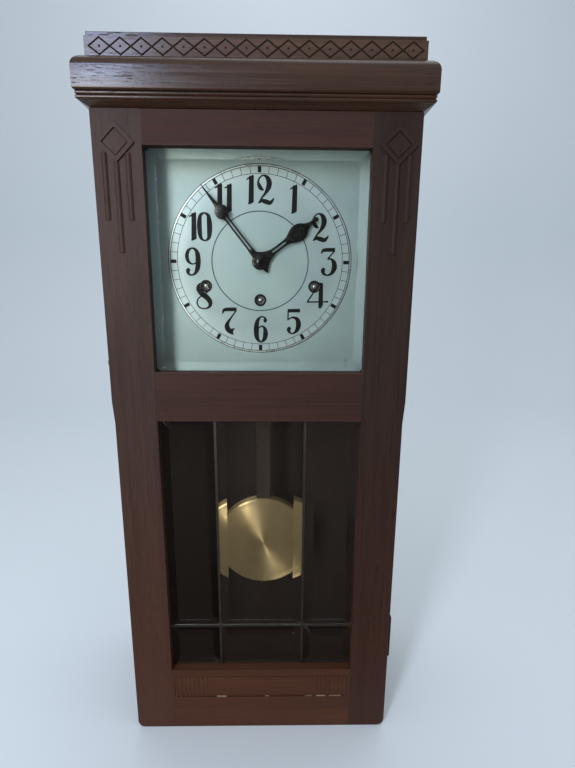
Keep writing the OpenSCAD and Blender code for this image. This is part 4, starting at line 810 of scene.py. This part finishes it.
bob_low, bob_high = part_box("pendulum_bob")
bob_middle = (bob_low + bob_high) / 2
bob_radius = (bob_high.x - bob_low.x) / 2 / mm
bob_half = (bob_high.y - bob_low.y) / 2 / mm
BOB_RIM = 5.9
face = [(bob_radius * t, -BOB_RIM - (bob_half - BOB_RIM) * (1 - t ** 2)) for t in
        (0, 0.1, 0.2, 0.32, 0.44, 0.56, 0.68, 0.78, 0.87, 0.93)]
front = face + [(bob_radius * 0.945, face[-1][1] - 0.15), (bob_radius * 0.965, -BOB_RIM - 0.75),
                (bob_radius * 0.985, -BOB_RIM), (bob_radius * 0.998, -0.9), (bob_radius, 0.0)]
section = front + [(r, -d) for r, d in reversed(front[:-1])]
bob = turned("pendulum_bob_spun", section, bob_middle, "bob", "bob_brass",
             spun_brass("spun_brass"), 128)
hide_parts("pendulum_bob")
# The slot leaves room around the rod and below it for the bob's travel. A hole for the
# screw runs on from it to the bob's lower edge.
CLEAR, TRAVEL, PAST_EDGE = 0.3, 6.0, 2.0
SCREW_HOLE, HOLE_DEPTH, HOLE_MIDDLE = 1.8, 24.0, 9.0
rod_low, rod_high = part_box("pendulum_rod")
slot_low = rod_low - Vector((CLEAR, CLEAR, TRAVEL)) * mm
slot_high = Vector((rod_high.x, rod_high.y, bob_high.z)) + Vector((CLEAR, CLEAR, PAST_EDGE)) * mm
hole_middle = Vector((bob_middle.x, bob_middle.y, bob_low.z + HOLE_MIDDLE * mm))
cut = bmesh.new()
bmesh.ops.create_cube(cut, size=1)
bmesh.ops.scale(cut, vec=slot_high - slot_low, verts=cut.verts)
bmesh.ops.translate(cut, vec=(slot_low + slot_high) / 2, verts=cut.verts)
bmesh.ops.create_cone(cut, cap_ends=True, segments=32, radius1=SCREW_HOLE * mm,
                      radius2=SCREW_HOLE * mm, depth=HOLE_DEPTH * mm,
                      matrix=Matrix.Translation(hole_middle))
cut_holder = bpy.data.objects.new("rod_slot", mesh_of("rod_slot", cut))
bpy.context.scene.collection.objects.link(cut_holder)
slotting = bob.modifiers.new("slot", "BOOLEAN")
slotting.object = cut_holder
slotting.solver = "EXACT"
bpy.context.view_layer.update()
slotted = bpy.data.meshes.new_from_object(bob.evaluated_get(
    bpy.context.evaluated_depsgraph_get()))
bob.modifiers.clear()
bob.data = slotted
bpy.data.objects.remove(cut_holder)

# Rating nut. Turned brass with a coarse knurl, on the screw below the bob.
nut_low, nut_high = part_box("rating_nut")
nut_axis = Vector(((nut_low.x + nut_high.x) / 2, (nut_low.y + nut_high.y) / 2, nut_low.z))
KNURLS, KNURL_DEPTH = 40, 0.25
knurled = bmesh.new()
rows = []
for i in range(KNURLS * 2):
    turn = math.pi * i / KNURLS
    groove = KNURL_DEPTH * (i % 2)
    section = [(1.56, 0.0), (5.3, 0.0), (5.9 - groove, 0.5), (5.98 - groove, 1.2),
               (5.98 - groove, 3.8), (5.9 - groove, 4.5), (5.3, 5.0), (4.0, 5.1), (3.9, 6.8),
               (3.6, 7.0), (1.56, 7.0)]
    rows.append([knurled.verts.new(nut_axis + mm * Vector((r * math.cos(turn),
                                                           r * math.sin(turn), h)))
                 for r, h in section])
for row, following in zip(rows, rows[1:] + rows[:1]):
    for i in range(len(row)):
        j = (i + 1) % len(row)
        knurled.faces.new((row[i], following[i], following[j], row[j]))
bmesh.ops.recalc_face_normals(knurled, faces=knurled.faces)
rating = own_piece("rating_nut_knurled", mesh_of("rating_nut_knurled", knurled), "nut",
                   "brass_fittings", fitting_brass)
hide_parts("rating_nut")


# Floor and background: a plain pale sweep, soft light from the upper left, and a camera
# a little above the dial's centre that looks slightly down.
def soft_surface(name, colour):
    material, put = new_material(name)
    place = put("TexCoord").outputs["Object"]
    soft = noise(put, place, 3, 2)
    shade = blend(put, soft, tint(*colour), tint(*(c * 0.985 for c in colour)))
    shader = put("BsdfPrincipled", {"Base Color": shade, "Roughness": 0.75,
                                    "Specular IOR Level": 0.25})
    put("OutputMaterial", {"Surface": shader.outputs[0]})
    return material


FLOOR_BACK, BEND = 1.3, 0.8
bend_angles = [math.radians(a) for a in range(10, 91, 10)]
profile = [(-3.0, 0.0), (FLOOR_BACK, 0.0)] + [
    (FLOOR_BACK + BEND * math.sin(a), BEND - BEND * math.cos(a)) for a in bend_angles]
profile.append((FLOOR_BACK + BEND, 3.2))
sweep = bmesh.new()
rows = [[sweep.verts.new((x, y, z - 0.2 * mm)) for y, z in profile] for x in (-3.6, 3.6)]
for i in range(len(profile) - 1):
    sweep.faces.new((rows[0][i], rows[1][i], rows[1][i + 1], rows[0][i + 1]))
mesh = mesh_of("pale_sweep", sweep)
mesh.shade_smooth()
mesh.materials.append(soft_surface("pale_paper", (222, 231, 238)))
floor = bpy.data.objects.new("pale_sweep", mesh)
bpy.context.scene.collection.objects.link(floor)


def lamp(name, place, target, width, height, power, colour):
    """A flat lamp that looks at a target. Its place and size are in metres."""
    light = bpy.data.lights.new(name, "AREA")
    light.shape = "RECTANGLE"
    light.size, light.size_y = width, height
    light.energy = power
    light.color = tint(*colour)[:3]
    holder = bpy.data.objects.new(name, light)
    holder.location = place
    holder.rotation_euler = (Vector(target) - Vector(place)).to_track_quat("-Z", "Y").to_euler()
    bpy.context.scene.collection.objects.link(holder)


# Daylight comes from the left through two tall lamps, the higher one bluer. A small lamp
# draws the streak on the bob, and a wide one behind lights the sweep.
lamp("window_light", (-0.58, -1.25, 0.76), (0, 0, 0.5), 0.24, 0.6, 7.4, (255, 250, 242))
lamp("high_window", (-0.56, -1.25, 1.26), (0, 0, 0.6), 0.2, 0.5, 6.2, (190, 212, 255))
lamp("small_lamp", (-0.5, -1.2, 0.38), (0, 0, 0.2), 0.04, 0.04, 0.7, (255, 250, 240))
lamp("back_light", (0.2, 0.7, 2.7), (0, 0.5, 0), 2.4, 2.0, 20, (255, 255, 255))

# A brown cloth lies and hangs in front, outside the picture, so that the glass mirrors it
# and not the bright floor. It is a painted reflection only: it is seen in reflections, but
# casts no shadow and throws no light.
cloth = bpy.data.meshes.new("reflection_cloth")
cloth.from_pydata([(x, y, z) for y, z in ((-0.13, 0.0005), (-1.3, 0.0005), (-1.34, 0.04),
                                          (-1.34, 1.02)) for x in (-1.1, 1.1)], [],
                  [(0, 1, 3, 2), (2, 3, 5, 4), (4, 5, 7, 6)])
cloth.materials.append(soft_surface("reflection_felt", (90, 77, 67)))
reflection_cloth = bpy.data.objects.new("reflection_cloth", cloth)
bpy.context.scene.collection.objects.link(reflection_cloth)
reflection_cloth.visible_camera = False
reflection_cloth.visible_diffuse = False
reflection_cloth.visible_shadow = False

# The same grey light comes from all round.
world = bpy.data.worlds.new("studio")
bpy.context.scene.world = world
world.use_nodes = True
air = world.node_tree
air.nodes.clear()
sky = air.nodes.new("ShaderNodeBackground")
sky.inputs["Color"].default_value = tint(210, 215, 219)
sky.inputs["Strength"].default_value = 0.74
target = air.nodes.new("ShaderNodeOutputWorld")
air.links.new(sky.outputs[0], target.inputs["Surface"])

# The camera's place is in millimetres, its turns in degrees, and its focal length and the
# height of its picture in the picture's points.
FOCAL_LENGTH, PICTURE_HEIGHT = 460, 768
CAMERA_PLACE = Vector((20.7, -526.9, 521.4)) * mm
PITCH, YAW, ROLL = (math.radians(a) for a in (12.64, 0.96, 0.42))
forward = Vector((math.sin(YAW) * math.cos(PITCH), math.cos(YAW) * math.cos(PITCH),
                  -math.sin(PITCH)))
right = Vector((math.cos(YAW), -math.sin(YAW), 0))
up = right.cross(forward)
level = right * math.cos(ROLL) + up * math.sin(ROLL)
upright = up * math.cos(ROLL) - right * math.sin(ROLL)
camera = bpy.data.cameras.new("camera")
camera.sensor_width = 36
camera.lens = FOCAL_LENGTH / PICTURE_HEIGHT * camera.sensor_width
camera.clip_start = 0.02
holder = bpy.data.objects.new("camera", camera)
bpy.context.scene.collection.objects.link(holder)
turn = Matrix((level, upright, -forward)).transposed().to_4x4()
holder.matrix_world = Matrix.Translation(CAMERA_PLACE) @ turn
bpy.context.scene.camera = holder
bpy.context.scene.view_settings.view_transform = "Standard"
